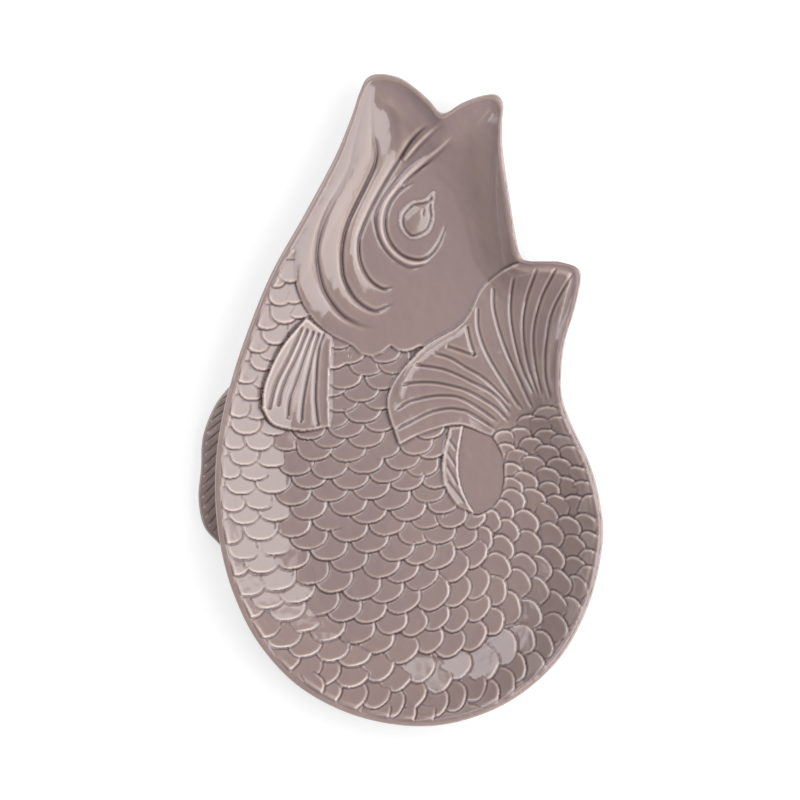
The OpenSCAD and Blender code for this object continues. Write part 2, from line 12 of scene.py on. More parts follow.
import bpy
import numpy as np
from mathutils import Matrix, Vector


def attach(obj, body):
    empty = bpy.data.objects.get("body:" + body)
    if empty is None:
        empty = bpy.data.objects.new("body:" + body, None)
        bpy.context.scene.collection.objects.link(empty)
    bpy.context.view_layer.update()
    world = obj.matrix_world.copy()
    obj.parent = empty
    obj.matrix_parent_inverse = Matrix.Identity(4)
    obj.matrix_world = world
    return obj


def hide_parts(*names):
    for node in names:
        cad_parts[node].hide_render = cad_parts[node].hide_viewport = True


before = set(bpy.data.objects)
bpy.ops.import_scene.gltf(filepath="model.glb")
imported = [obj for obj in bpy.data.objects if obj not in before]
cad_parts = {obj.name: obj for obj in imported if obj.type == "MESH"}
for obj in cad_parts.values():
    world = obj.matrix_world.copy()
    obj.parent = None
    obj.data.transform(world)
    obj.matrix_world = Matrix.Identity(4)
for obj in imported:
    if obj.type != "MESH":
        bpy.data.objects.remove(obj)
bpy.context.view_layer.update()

Array = np.ndarray
Line = list[list[float]]
Triple = tuple[float, float, float]
MM = 0.001
SMALL = 1e-3
TINY = 1e-6
BLOCK = 4_000_000  # distances worked out at a time
SIDES = ((1, 0), (-1, 0), (1, 1), (-1, 1))  # a step down, up, right and left, as a shift and an axis
log = logging.getLogger("platter")


# Lines and places

def curve(points: Array, places: Array, closed: bool = False) -> Array:
    """Points on a smooth line: from point to point a cubic, whose slope at each is half the step round it.

    Args:
        points: The given points, one row each.
        places: Where to read the line; a whole number is a given point.
        closed: Whether the line runs on from the last point to the first.

    Returns:
        One point for each place, in the last axis.
    """
    points, places = np.asarray(points, float), np.asarray(places, float)
    count = len(points)
    if closed:
        first = np.floor(places).astype(int)
        a, b, c, d = (points[(first + k) % count] for k in (-1, 0, 1, 2))
    else:
        ends = np.concatenate([2 * points[:1] - points[1:2], points, 2 * points[-1:] - points[-2:-1]])
        first = np.clip(np.floor(places).astype(int), 0, count - 2)
        a, b, c, d = (ends[first + k] for k in range(4))
    s = (places - first).reshape(places.shape + (1,) * (points.ndim - 1))
    return (2 * b + (c - a) * s + (2 * a - 5 * b + 4 * c - d) * s**2 + (3 * b - a - 3 * c + d) * s**3) / 2


def along(points: Array | Line, share: Array) -> Array:
    """Points at shares of the way along an open smooth line."""
    return curve(points, np.asarray(share) * (len(points) - 1))


def mix(a: Array, b: Array, share: Array) -> Array:
    """A straight blend of two values."""
    return a + (b - a) * share


def ramp(value: Array, low: float, high: float) -> Array:
    """A soft step from 0 at low to 1 at high, flat at both ends."""
    t = np.clip((value - low) / (high - low), 0, 1)
    return t * t * (3 - 2 * t)


def taper(way: Array, start: float, end: float, lead: float = 0.0) -> Array:
    """1 along a share from 0 to 1, fading to 0 over its start and its end; the lead moves the start back."""
    return ramp(way, -lead, start) * ramp(1 - way, 0.0, end)


def hump(share: Array) -> Array:
    """A rounded ridge over a share from 0 to 1: the square of the sine of half a turn times the share."""
    return np.sin(np.pi * np.clip(share, 0, 1)) ** 2


def grow(zones: Array, steps: int) -> Array:
    """Lets numbered fields grow into the places of number 0 round them.

    Args:
        zones: The grid of numbers.
        steps: How many steps of the grid they grow.

    Returns:
        The grid with its fields grown.
    """
    for _ in range(steps):
        for shift, axis in SIDES:
            zones = np.where(zones == 0, np.roll(zones, shift, axis), zones)
    return zones


def beside(values: Array, mode: str) -> tuple[Array, ...]:
    """The values one step down, up, right and left of each on a grid, with a border of NumPy's given mode."""
    wide = np.pad(values, ((1, 1), (1, 1), (0, 0)), mode=mode)
    return wide[2:, 1:-1], wide[:-2, 1:-1], wide[1:-1, 2:], wide[1:-1, :-2]


@dataclass(frozen=True)
class View:
    """The straight view that the outlines are read in, and the real sizes that it stands for."""

    length: float = 340.0
    width: float = 212.0
    length_px: float = 652.0
    width_px: float = 407.0
    middle_px: tuple[float, float] = (400.0, 399.5)
    picture_px: int = 800

    def at(self, points: Array | Line) -> Array:
        """Places on the platter for picture points: distances from the middle, times a point's real size.

        Args:
            points: Picture points, with x and y in the last axis.

        Returns:
            Places in the same order, with x and y in the last axis.
        """
        points = np.asarray(points, float)
        x = (points[..., 0] - self.middle_px[0]) * self.width / self.width_px
        y = (self.middle_px[1] - points[..., 1]) * self.length / self.length_px
        return np.stack([x, y], -1)


VIEW = View()


def closed_line(points: Line, count: int) -> Array:
    """A smooth closed line through picture points, as so many places on the platter."""
    return VIEW.at(curve(points, np.linspace(0, len(points), count, endpoint=False), closed=True))


def measure(places: Array, line: Array) -> tuple[Array, Array, Array]:
    """Distance of each place to a line of short straight runs, its side of it, and how far along it is.

    The nearest point on a run is its start plus the run times the clipped ratio of the two dot products.

    Args:
        places: Places, one row each.
        line: Corners of the line, one row each.

    Returns:
        Distances, sides (1 on the left of the line's way, else -1) and shares of the line's corners.
    """
    start, run = line[:-1], line[1:] - line[:-1]
    square = np.maximum((run**2).sum(1), TINY**2)
    distance, side, share = (np.empty(len(places)) for _ in range(3))
    chunk = max(1, BLOCK // len(run))
    for low in range(0, len(places), chunk):
        part = slice(low, low + chunk)
        away_x = places[part, None, 0] - start[None, :, 0]
        away_y = places[part, None, 1] - start[None, :, 1]
        t = np.clip((away_x * run[:, 0] + away_y * run[:, 1]) / square, 0, 1)
        gap = np.hypot(away_x - t * run[:, 0], away_y - t * run[:, 1])
        near = gap.argmin(1)
        rows = np.arange(len(near))
        distance[part] = gap[rows, near]
        turn = run[near, 0] * away_y[rows, near] - run[near, 1] * away_x[rows, near]
        side[part] = np.where(turn >= 0, 1, -1)
        share[part] = (near + t[rows, near]) / len(run)
    return distance, side, share


# The height map

@dataclass
class Chart:
    """An even grid of places over the platter, on which heights are kept."""

    half_x: float = 108.0
    half_y: float = 172.5
    step: float = 0.35
    cover_share: float = 0.45
    x: Array = field(init=False)
    y: Array = field(init=False)
    shape: tuple[int, int] = field(init=False)

    def __post_init__(self) -> None:
        """Works out the grid's two axes."""
        self.x = np.arange(-self.half_x, self.half_x + self.step, self.step)
        self.y = np.arange(-self.half_y, self.half_y + self.step, self.step)
        self.shape = (len(self.y), len(self.x))

    def spots(self, every: int = 1) -> Array:
        """Places of the grid's points, or of every so many of them, one row each."""
        x, y = np.meshgrid(self.x[::every], self.y[::every])
        return np.stack([x.ravel(), y.ravel()], 1)

    def cells(self, places: Array) -> tuple[Array, Array]:
        """Row and column of each place on the grid, as numbers that need not be whole."""
        return (places[..., 1] + self.half_y) / self.step, (places[..., 0] + self.half_x) / self.step

    def sample(self, heights: Array, places: Array) -> Array:
        """Heights at any places, blended from the four grid points round each.

        Args:
            heights: Heights on the grid.
            places: The places, with x and y in the last axis.

        Returns:
            One height for each place.
        """
        row, column = (np.clip(v, 0, n - 1 - SMALL) for v, n in zip(self.cells(places), self.shape))
        j, i = row.astype(int), column.astype(int)
        v, u = row - j, column - i
        low = mix(heights[j, i], heights[j, i + 1], u)
        return mix(low, mix(heights[j + 1, i], heights[j + 1, i + 1], u), v)

    def inside(self, line: Array) -> Array:
        """Finds the grid points that a closed line goes round: an odd number of its edges is on their left.

        Args:
            line: Corners of the line, one row each.

        Returns:
            The grid, true at the points inside.
        """
        a, b = line, np.roll(line, -1, 0)
        crossed = (a[:, 1] > self.y[:, None]) != (b[:, 1] > self.y[:, None])
        rows, edges = np.nonzero(crossed)
        share = (self.y[rows] - a[edges, 1]) / (b[edges, 1] - a[edges, 1])
        x = mix(a[edges, 0], b[edges, 0], share)
        columns = np.clip(np.ceil((x + self.half_x) / self.step), 0, self.shape[1]).astype(int)
        turns = np.zeros((self.shape[0], self.shape[1] + 1), int)
        np.add.at(turns, (rows, columns), 1)
        return turns.cumsum(1)[:, :-1] % 2 == 1

    def spread(self, places: Array, values: list[Array]) -> tuple[Array, list[Array]]:
        """Averages values that are known at scattered places over each grid point's own square.

        Args:
            places: The places, with coordinates in the last axis.
            values: One array of values for each quantity, in the places' shape.

        Returns:
            The grid points that were reached, and each quantity on the grid, slightly evened out.
        """
        row, column = (np.rint(v).astype(int).ravel() for v in self.cells(places))
        kept = (row >= 0) & (row < self.shape[0]) & (column >= 0) & (column < self.shape[1])
        flat = row[kept] * self.shape[1] + column[kept]
        size = self.shape[0] * self.shape[1]
        count = np.bincount(flat, minlength=size).reshape(self.shape).astype(float)
        hit = (count > 0).astype(float)
        near = self.soften(hit, self.step)
        fields = []
        for value in values:
            total = np.bincount(flat, np.broadcast_to(value, places.shape[:-1]).ravel()[kept], size)
            mean = total.reshape(self.shape) / np.maximum(count, 1)
            fields.append(self.soften(mean * hit, self.step) / np.maximum(near, TINY))
        return near > self.cover_share, fields

    def sweep(self, lines: list[Line], way_count: int, across_count: int) -> tuple[Array, Array, Array]:
        """Spreads over the grid the surface that runs smoothly from line to line.

        Args:
            lines: The lines in picture points, from the surface's first edge to its last.
            way_count: How many places are read along each line.
            across_count: How many places are read from the first line to the last.

        Returns:
            The grid points that the surface covers, and at each its share along the lines and across them.
        """
        way, across = np.linspace(0, 1, way_count), np.linspace(0, 1, across_count)
        spots = VIEW.at(along(np.stack([along(line, way) for line in lines]), across))
        reached, (share_way, share_across) = self.spread(spots, [way[None, :], across[:, None]])
        return reached, share_way, share_across

    def soften(self, heights: Array, spread: float) -> Array:
        """Evens heights out with a bell curve, cut off at three spreads, first down and then across.

        Args:
            heights: Heights on the grid.
            spread: The bell curve's spread in millimetres.

        Returns:
            The softer heights.
        """
        reach = max(1, int(np.ceil(3 * spread / self.step)))
        weights = np.exp(-0.5 * (np.arange(-reach, reach + 1) * self.step / spread) ** 2)
        weights /= weights.sum()
        for _ in range(2):
            wide = np.pad(heights, ((reach, reach), (0, 0)), mode="edge")
            heights = sum(w * wide[k:k + len(heights)] for k, w in enumerate(weights)).T
        return heights

    def finer(self, coarse: Array, every: int) -> Array:
        """Fills the grid from every so many of its points, by the cubic of a smooth line, both ways."""
        down, across = (np.arange(count) / every for count in self.shape)
        return curve(curve(coarse, down).T, across).T


# The dish

# Where each spoke of the dish leaves the rim, and where it meets the floor.
SPOKES = np.array([
    [443, 112.5, 428, 176], [429, 99.5, 422, 176], [416, 88, 417, 177], [400, 77.5, 410, 178],
    [381, 73.5, 404, 180], [367, 77.5, 398, 183], [359, 93, 393, 187], [351, 117, 388, 193],
    [334, 158, 380, 206], [303, 216, 359, 243], [272, 271, 336, 292], [248, 329, 315, 345],
    [230, 384, 299, 395], [218, 440, 289, 441], [215, 492, 286, 487], [220, 544, 291, 530],
    [234, 595, 302, 570], [260, 645, 322, 606], [303, 689, 350, 634], [365, 718, 388, 650],
    [436, 725, 434, 655], [504, 704, 476, 642], [557, 661, 508, 617], [589, 604, 527, 582],
    [603, 542, 535, 540], [600, 500, 534, 508], [590, 463, 528, 480], [571, 422, 516, 447],
    [562.5, 397, 509, 415], [561.5, 373, 507, 385], [565, 342, 507, 352], [575, 308, 505, 325],
    [581, 278, 501, 305], [576, 266, 496, 294], [556, 262, 488, 282], [535, 262.5, 480, 273],
    [522, 257, 474, 263], [516, 236, 468, 246], [509, 192, 462, 218], [503, 150, 452, 195],
    [502.5, 122, 447, 187], [503.5, 104, 443, 183], [497, 94.5, 440, 180], [483, 95, 437, 178],
    [463, 102, 433, 177],
])


@dataclass
class Dish:
    """The cast dish: a flat floor, a wall that steepens outwards, a rounded lip and the shell below them."""

    chart: Chart
    rim_height: float = 26.0
    lip: float = 3.6
    band: float = -0.9
    band_lean: float = 0.7
    floor_height: float = 8.0
    floor_thickness: float = 5.0
    wall_curve: float = 1.8
    wall_top_share: float = 0.12
    lip_depth_share: float = 1.3
    flat_share: float = 0.92
    spokes_per_row: int = 16
    wall_rows: int = 26
    lip_rows: int = 9
    under_rows: int = 14
    coarse: int = 3
    crease_softness: float = 3.4
    crisp_to: float = 1.0
    soft_from: float = 12.0
    floor_strip: float = 4.0
    edge_turn: float = 80.0
    lip_pool: float = -0.15
    edge_pool: float = -0.35
    under_pool: float = 0.2
    rim_line: Array = field(init=False)
    floor_line: Array = field(init=False)
    reach: Array = field(init=False)
    way: Array = field(init=False)
    lip_line: Array = field(init=False)
    band_line: Array = field(init=False)
    lip_gap: Array = field(init=False)
    heights: Array = field(init=False)

    def __post_init__(self) -> None:
        """Works out the rim, the lip's inner edge, the floor's edge and the dish's height map."""
        places = np.arange(len(SPOKES) * self.spokes_per_row) / self.spokes_per_row
        spokes = curve(SPOKES, places, closed=True)
        self.rim_line, self.floor_line = VIEW.at(spokes[:, :2]), VIEW.at(spokes[:, 2:])
        way = self.floor_line - self.rim_line
        self.reach = np.linalg.norm(way, axis=1, keepdims=True)
        self.way = way / self.reach
        self.lip_line = self.inward(self.lip)
        self.band_line = self.inward(self.lip + self.band + self.band_lean * self.way[:, :1])
        floor_side, self.lip_gap = (self.side_gap(line) for line in (self.floor_line, self.lip_line))
        self.heights = self.height_map(np.maximum(-floor_side, 0), np.maximum(self.lip_gap, 0))

    def inward(self, length: float | Array) -> Array:
        """Points a given length in from the rim, one on each spoke."""
        return self.rim_line + self.way * length

    def side_gap(self, line: Array) -> Array:
        """Distance to a closed line, worked out at every few points of the chart and filled in smoothly.

        Args:
            line: Corners of the line, one row each.

        Returns:
            Distances on the chart, above zero inside the line and below zero outside.
        """
        distance, side, _ = measure(self.chart.spots(self.coarse), np.vstack([line, line[:1]])[::2])
        shape = [len(axis[::self.coarse]) for axis in (self.chart.y, self.chart.x)]
        return self.chart.finer((distance * side).reshape(shape), self.coarse)

    def height_map(self, floor_gap: Array, wall_gap: Array) -> Array:
        """Height of the dish on the chart.

        It is the floor's height plus the wall's rise times a power of the share a / (a + b), where a is the
        distance to the floor's edge and b the one to the lip; on the lip it follows the lip's inner half.
        Creases between two walls are softened, apart from a strip along the lip.

        Args:
            floor_gap: Distance out from the floor's edge, zero on the floor.
            wall_gap: Distance in from the lip, zero on the lip.

        Returns:
            The heights.
        """
        share = floor_gap / np.maximum(floor_gap + wall_gap, TINY)
        crest = self.crest(np.clip(1 + self.lip_gap / self.lip, 0.5, 1))
        sharp = self.floor_height + (crest - self.floor_height) * share**self.wall_curve
        soft = self.chart.soften(sharp, self.crease_softness)
        inner = ramp(wall_gap, self.crisp_to, self.soft_from)
        return mix(sharp, soft, inner * ramp(floor_gap, 0.0, self.floor_strip))

    def crest(self, share: float | Array) -> Array:
        """Height of the lip's inner half, from its middle at a share of 0.5 to its inner edge at 1."""
        return self.rim_height - self.lip * self.wall_top_share * (2 * share - 1) ** 4

    def under_height(self, share: float) -> float:
        """Height of the underside: its flat bottom plus its rise times a power of the share still to go.

        Args:
            share: Share of the way from the rim to the floor's edge.

        Returns:
            The height there.
        """
        top = self.rim_height - self.lip * self.lip_depth_share
        bottom = self.floor_height - self.floor_thickness
        return bottom + (top - bottom) * (1 - np.minimum(share / self.flat_share, 1)) ** self.wall_curve

    def rings(self) -> tuple[Array, Array]:
        """Rings of the shell: from the floor's edge up the wall, over the lip, and below to the floor again.

        The lip's outer half is a quarter circle and its inner half a power curve that runs on into the wall.

        Returns:
            The rings' points and how much glaze pools on each ring: less than zero where it runs thin.
        """
        rings, pools = [], []

        def add(line: Array, height: float | Array, pool: float) -> None:
            """Adds a ring."""
            rings.append(np.column_stack([line, np.broadcast_to(height, len(line))]))
            pools.append(pool)

        for share in np.linspace(1, 0, self.wall_rows, endpoint=False):
            line = mix(self.lip_line, self.floor_line, share)
            add(line, self.chart.sample(self.heights, line), 0.0)
        for share in np.linspace(1, 0.5, self.lip_rows):
            add(self.inward(self.lip * share), self.crest(share), self.lip_pool)
        for angle in np.radians(np.linspace(self.edge_turn, 0, self.lip_rows)):
            line = self.inward(self.lip * 0.5 * (1 - np.cos(angle)))
            height = self.rim_height - self.lip * 0.5 * (1 - np.sin(angle))
            add(line, height, self.lip_pool + self.edge_pool * np.cos(angle))
        for share in np.linspace(0, 1, self.under_rows):
            add(mix(self.rim_line, self.floor_line, share), self.under_height(share), self.under_pool)
        return np.stack(rings), np.repeat(pools, len(self.rim_line))


# Meshes

def make_piece(
    name: str, points: Array, faces: list[Array], corners: Array | None = None
) -> bpy.types.Object:
    """Puts a closed surface into a new object at the origin.

    Args:
        name: The piece's name.
        points: Corner points in millimetres, one row each.
        faces: Arrays of corner numbers, each array with faces of one size, counted round from outside.
        corners: A direction for every face corner, for smooth shading; a zero keeps the mesh's own.

    Returns:
        The new object.
    """
    mesh = bpy.data.meshes.new(name)
    mesh.vertices.add(len(points))
    mesh.vertices.foreach_set("co", (np.asarray(points) * MM).astype(np.float32).ravel())
    sizes = np.concatenate([np.full(len(f), f.shape[1]) for f in faces])
    order = np.concatenate([f.ravel() for f in faces]).astype(np.int32)
    mesh.loops.add(len(order))
    mesh.loops.foreach_set("vertex_index", order)
    mesh.polygons.add(len(sizes))
    mesh.polygons.foreach_set("loop_start", np.concatenate([[0], sizes.cumsum()[:-1]]).astype(np.int32))
    mesh.polygons.foreach_set("use_smooth", np.ones(len(sizes), bool))
    mesh.update(calc_edges=True)
    if corners is not None:
        mesh.normals_split_custom_set(corners)
    piece = bpy.data.objects.new(name, mesh)
    bpy.context.scene.collection.objects.link(piece)
    return piece


def give_pool_and_shade(piece: bpy.types.Object, pool: Array) -> None:
    """Writes how much glaze pools at each corner, with the painted shade of the relief's grooves, into the
    piece's own attribute.
    """
    attribute = piece.data.attributes.new("pool", "FLOAT", "POINT")
    attribute.data.foreach_set("value", np.asarray(pool, np.float32))


def tube_faces(rings: int, around: int, joined: bool = False) -> Array:
    """Four-cornered faces between rings of points, counted round from the left of the rings' way.

    Args:
        rings: Number of rings.
        around: Points on each ring.
        joined: Whether the last ring is joined to the first.

    Returns:
        One row of four corner numbers for each face.
    """
    j, i = np.meshgrid(np.arange(rings if joined else rings - 1), np.arange(around), indexing="ij")
    j, i = j.ravel(), i.ravel()
    up, on = (j + 1) % rings, (i + 1) % around
    return np.stack([j * around + i, up * around + i, up * around + on, j * around + on], 1)


def place_piece(piece: bpy.types.Object, node: str, material: bpy.types.Material) -> None:
    """Dresses a piece, lets it ride on the platter's body and hides the imported solid that it stands for.

    Args:
        piece: The piece.
        node: The solid's name.
        material: Its finish.
    """
    piece.data.materials.append(material)
    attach(piece, "root")
    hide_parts(node)
    log.info("%s: %d faces", piece.name, len(piece.data.polygons))


# The relief's outlines

class Zone(Enum):
    """The forms of the relief, with the names of the solids that they stand for."""

    FLANK = "flank_scales"
    BELLY = "belly_scales"
    TAIL = "tail_scales"
    PECTORAL = "pectoral_fin"
    UPPER_JAW = "upper_jaw"
    LOWER_JAW = "lower_jaw"
    GILL = "gill_cover"
    LIP = "upper_lip"
    SOCKET = "eye_socket"
    EYE_RIM = "eye_rim"
    EYEBALL = "eyeball"
    BELLY_FIN = "belly_fin"
    TAIL_FIN = "tail_fin"


NUMBERS = {zone: k + 1 for k, zone in enumerate(Zone)}
SCALY = (Zone.FLANK, Zone.BELLY, Zone.TAIL)

# The head: the back edge of each fold of the gill cover, the mouth, and the outlines round them.
HEAD_BACK = [
    [366, 84], [358, 106], [350, 128], [339, 156], [322, 188], [306, 216], [297, 236], [295, 262],
    [297, 287], [307, 310], [325, 330], [352, 344],
]
FOLD_2 = [
    [371, 82], [364, 108], [357, 134], [349, 169], [336, 194], [325, 216], [318, 240], [317, 262],
    [321, 284], [333, 305], [352, 320], [383, 323],
]
FOLD_1 = [
    [375, 81], [372, 104], [373, 132], [375, 158], [367, 181], [356, 204], [346, 228], [342, 252],
    [344, 278], [353, 296], [372, 309], [399, 299],
]
MOUTH = [
    [383, 80], [412, 92], [440, 115], [422, 129], [404, 150], [389, 175], [374, 202], [362, 229],
    [359, 255], [364, 271], [377, 285], [396, 285],
]
CHEEK = [
    [440, 116], [422, 129], [404, 150], [389, 175], [374, 202], [362, 229], [359, 255], [364, 271],
    [377, 285], [396, 285], [399, 299], [392, 313], [383, 323], [372, 336], [352, 344],
]
NAPE = [
    [496, 99], [498, 118], [498, 140], [500, 162], [504, 186], [508, 212], [512, 238], [518, 264],
    [512, 280], [498, 297], [482, 314], [470, 334], [452, 343], [420, 346], [390, 344],
]
HEAD_SCALLOPS = [
    [340, 338], [352, 345], [360, 353], [371, 356], [382, 352], [391, 345], [398, 350], [406, 351],
    [413, 349], [419, 346], [440, 342], [440, 320], [360, 320],
]
# The two edges of the lip and of the eye's socket, and the outlines of the eye.
LIP_OUT = [[490, 100], [476, 102], [462, 107], [445, 116], [430, 127], [416, 140], [403, 157]]
LIP_IN = [[493, 104], [478, 107], [464, 113], [449, 121], [435, 132], [421, 145], [406, 161]]
SOCKET_OUT = [
    [455, 131], [440, 143], [424, 154], [406, 169], [390, 187], [379, 203], [375, 219], [378, 237],
    [387, 253], [402, 264], [417, 266], [432, 259], [446, 243],
]
SOCKET_IN = [
    [456, 135], [439, 153], [422, 167], [407, 182], [396, 193], [388, 206], [385, 222], [388, 237],
    [396, 248], [409, 257], [421, 259], [431, 253], [441, 240],
]
EYE_OUT = [
    [434, 190.5], [425, 198], [411.5, 201.2], [400.4, 212.5], [400.2, 226.8], [411.5, 238], [428, 231.5],
    [433.6, 218], [433, 206],
]
EYE_IN = [
    [432, 196], [426, 201], [412.7, 204.3], [403.5, 214.2], [403.5, 225.8], [412.7, 235], [426, 229.2],
    [431.2, 217.5], [430.4, 207],
]
# Lines across the pectoral fin and the tail fin, from the root out.
PECTORAL = [
    [[306, 317], [313, 323], [322, 330], [331, 336]],
    [[281, 348], [296, 352], [313, 355], [330, 356]],
    [[265, 383], [285, 389], [307, 392], [328, 392]],
    [[262, 408], [273, 424], [301, 430], [329, 426]],
]
TAIL = [
    [[491, 435], [495, 427], [502, 420], [514, 414], [528, 411], [544, 407], [561, 401]],
    [[459, 424], [455, 407], [473, 385], [500, 364], [520, 350], [543, 345], [565, 352]],
    [[424, 432], [416, 402], [437, 368], [478, 342], [500, 310], [536, 298], [575, 304]],
    [[399, 444], [388, 396], [420, 350], [464, 321], [486, 284], [526, 261], [585, 262]],
]
# The two edges of the back fin and of the belly fin, and the smooth oval that the curled tail goes round.
BACK_IN = [[250, 376], [246, 392], [241, 418], [238, 445], [237, 472], [238, 500], [241, 524]]
BACK_OUT = [[231.5, 382], [214, 405], [202, 436], [200, 468], [197.5, 498], [203, 526], [219, 545]]
BELLY_IN = [[462.9, 425.7], [458.4, 454], [459, 477.5], [465, 497], [474, 513]]
BELLY_OUT = [[450.4, 427.5], [444, 454], [443, 472], [446.8, 488], [459, 506]]
LOOP = [
    [458, 420], [474, 422], [487, 430], [496, 441], [503, 455], [505, 470], [504, 486], [499, 500],
    [489, 510], [475, 515], [464, 504], [453, 480], [452, 450],
]
# The scales: the tip of each in picture points, its turn from straight down in degrees, and its half width.
FLANK_SCALES = [
    [290, 282, 0, 11], [276, 287, 0, 9], [280, 305, 0, 11], [293, 303, 0, 12], [267, 329, 0, 12],
    [284, 323, 0, 13], [299, 318, 0, 12], [275, 344, 0, 13], [258, 352, 0, 11], [263, 370, 0, 13],
    [271, 360, 0, 12], [246, 383, 0, 11], [264, 388, 0, 13], [252, 400, 0, 13], [239, 417, 0, 11],
    [257, 419, 0, 14], [246, 434, 0, 15], [273, 435, 0, 16], [341, 348, 8, 13], [335, 368, 10, 16],
    [352, 363, 12, 16], [387, 362, 10, 16], [368, 375, 5, 18], [396, 373, 8, 16], [346, 388, 8, 18],
    [384, 389, 5, 18], [332, 396, 5, 16], [362, 401, 5, 19], [381, 409, 5, 17], [343, 411, 8, 18],
    [364, 422, 5, 19], [335, 427, 10, 16], [382, 431, 6, 18], [348, 437, 8, 19], [331, 447, 8, 18],
    [367, 447, 6, 19], [349, 461, 6, 19], [385, 458, 10, 18], [419, 454, 12, 17], [405, 469, 10, 18],
    [432, 438, 12, 16], [433, 458, 8, 16], [235, 449, 0, 11], [259, 450, 0, 14], [287, 450, 2, 17],
    [316, 460, 6, 18], [309, 439, 2, 17], [244, 465, 0, 14], [272, 467, 2, 17], [297, 475, 6, 18],
    [331, 478, 8, 19], [366, 473, 6, 19], [388, 482, 10, 18], [424, 476, 8, 17], [230, 478, 0, 11],
    [254, 480, 0, 15], [273, 493, 3, 18], [310, 488, 5, 18], [352, 489, 7, 19], [373, 499, 8, 19],
    [408, 490, 8, 18], [437, 488, 5, 15], [241, 494, 0, 15], [259, 509, 0, 16], [294, 505, 6, 18],
    [331, 501, 7, 19], [350, 515, 8, 19], [394, 509, 10, 19], [430, 502, 6, 17], [233, 511, 0, 12],
    [244, 524, 0, 15], [275, 521, 3, 17], [310, 519, 8, 18], [370, 523, 8, 19], [411, 520, 12, 18],
    [445, 513, 10, 16], [260, 540, 0, 17], [294, 537, 6, 18], [332, 530, 8, 19], [351, 541, 8, 19],
    [390, 535, 12, 19],
]
BELLY_SCALES = [
    [430, 528, 12, 17], [456, 527, 18, 15], [231, 543, 5, 12], [245, 559, 3, 16], [276, 555, 5, 18],
    [310, 549, 8, 19], [372, 552, 10, 19], [418, 544, 10, 18], [443, 543, 14, 16], [466, 547, 20, 16],
    [480, 526, 35, 12], [262, 573, 3, 17], [293, 569, 8, 18], [330, 560, 8, 19], [351, 571, 10, 19],
    [400, 560, 15, 18], [424, 563, 22, 17], [444, 567, 25, 18], [238, 575, 8, 12], [251, 595, 8, 16],
    [280, 590, 10, 18], [313, 584, 12, 18], [385, 577, 15, 19], [463, 576, 45, 17], [482, 563, 45, 16],
    [337, 592, 14, 19], [365, 599, 15, 20], [406, 581, 20, 18], [428, 587, 30, 18], [270, 608, 8, 17],
    [301, 602, 18, 18], [325, 614, 20, 19], [391, 601, 22, 18], [409, 611, 28, 19], [443, 604, 45, 19],
    [466, 599, 52, 18], [487, 590, 60, 17], [253, 617, 10, 13], [290, 620, 12, 18], [349, 620, 22, 18],
    [373, 622, 18, 18], [267, 637, 10, 15], [308, 631, 16, 18], [396, 633, 20, 16], [420, 633, 35, 15],
    [443, 626, 40, 16], [464, 626, 50, 15], [486, 615, 50, 16], [287, 647, 12, 18], [332, 640, 20, 18],
    [360, 643, 16, 19], [380, 653, 16, 18], [438, 648, 45, 16], [459, 652, 45, 17], [482, 644, 50, 17],
    [308, 656, 14, 17], [337, 660, 20, 17], [357, 666, 14, 18], [410, 660, 35, 17], [294, 667, 40, 15],
    [314, 677, 36, 17], [331, 682, 30, 16], [356, 686, 18, 17], [387, 677, 40, 16], [429, 677, 45, 16],
    [403, 688, 35, 16], [467, 673, 50, 16], [496, 671, 60, 18], [321, 694, 55, 14], [337, 699, 50, 15],
    [361, 704, 42, 16], [383, 704, 36, 15], [422, 701, 50, 15], [448, 686, 52, 15], [402, 708, 60, 15],
    [389, 714, 66, 13], [415, 716, 70, 13], [446, 707, 62, 15], [434, 716, 70, 13], [465, 700, 70, 15],
    [485, 690, 70, 15], [499, 694, 82, 14], [515, 683, 88, 15], [517, 648, 85, 18], [504, 624, 78, 14],
    [507, 592, 85, 15],
]
TAIL_SCALES = [
    [493, 539, 90, 13], [500, 517, 112, 12], [521, 605, 100, 17], [526, 665, 95, 15], [535, 636, 105, 15],
    [540, 608, 118, 15], [552, 640, 112, 14], [544, 660, 112, 13], [565, 620, 122, 14], [563, 597, 128, 15],
    [546, 583, 128, 14], [528, 576, 124, 15], [508, 560, 124, 15], [511, 541, 128, 14], [516, 524, 130, 13],
    [533, 559, 130, 14], [549, 562, 125, 14], [567, 575, 132, 15], [560, 550, 135, 15], [537, 535, 134, 14],
    [534, 514, 138, 14], [511, 504, 132, 12], [559, 527, 136, 14], [581, 539, 136, 13], [583, 561, 134, 13],
    [584, 580, 130, 12], [579, 602, 128, 13], [551, 506, 144, 15], [575, 519, 144, 13], [594, 533, 148, 11],
    [595, 551, 146, 11], [595, 568, 142, 11], [590, 515, 152, 12], [548, 406, 180, 15], [527, 415, 188, 12],
    [539, 417, 180, 12], [559, 416, 175, 12], [503, 430, 188, 10], [520, 427, 180, 12], [547, 429, 176, 12],
    [532, 437, 176, 12], [563, 435, 172, 13], [507, 443, 175, 10], [549, 445, 170, 13], [573, 446, 166, 13],
    [520, 449, 170, 12], [535, 456, 168, 13], [562, 458, 166, 13], [515, 463, 162, 11], [551, 468, 162, 13],
    [581, 467, 160, 13], [530, 473, 155, 13], [568, 477, 165, 12], [517, 479, 150, 12], [551, 482, 168, 11],
    [586, 481, 165, 12], [519, 491, 148, 13], [538, 490, 154, 13], [561, 496, 158, 13], [579, 496, 160, 12],
    [594, 495, 160, 10],
]
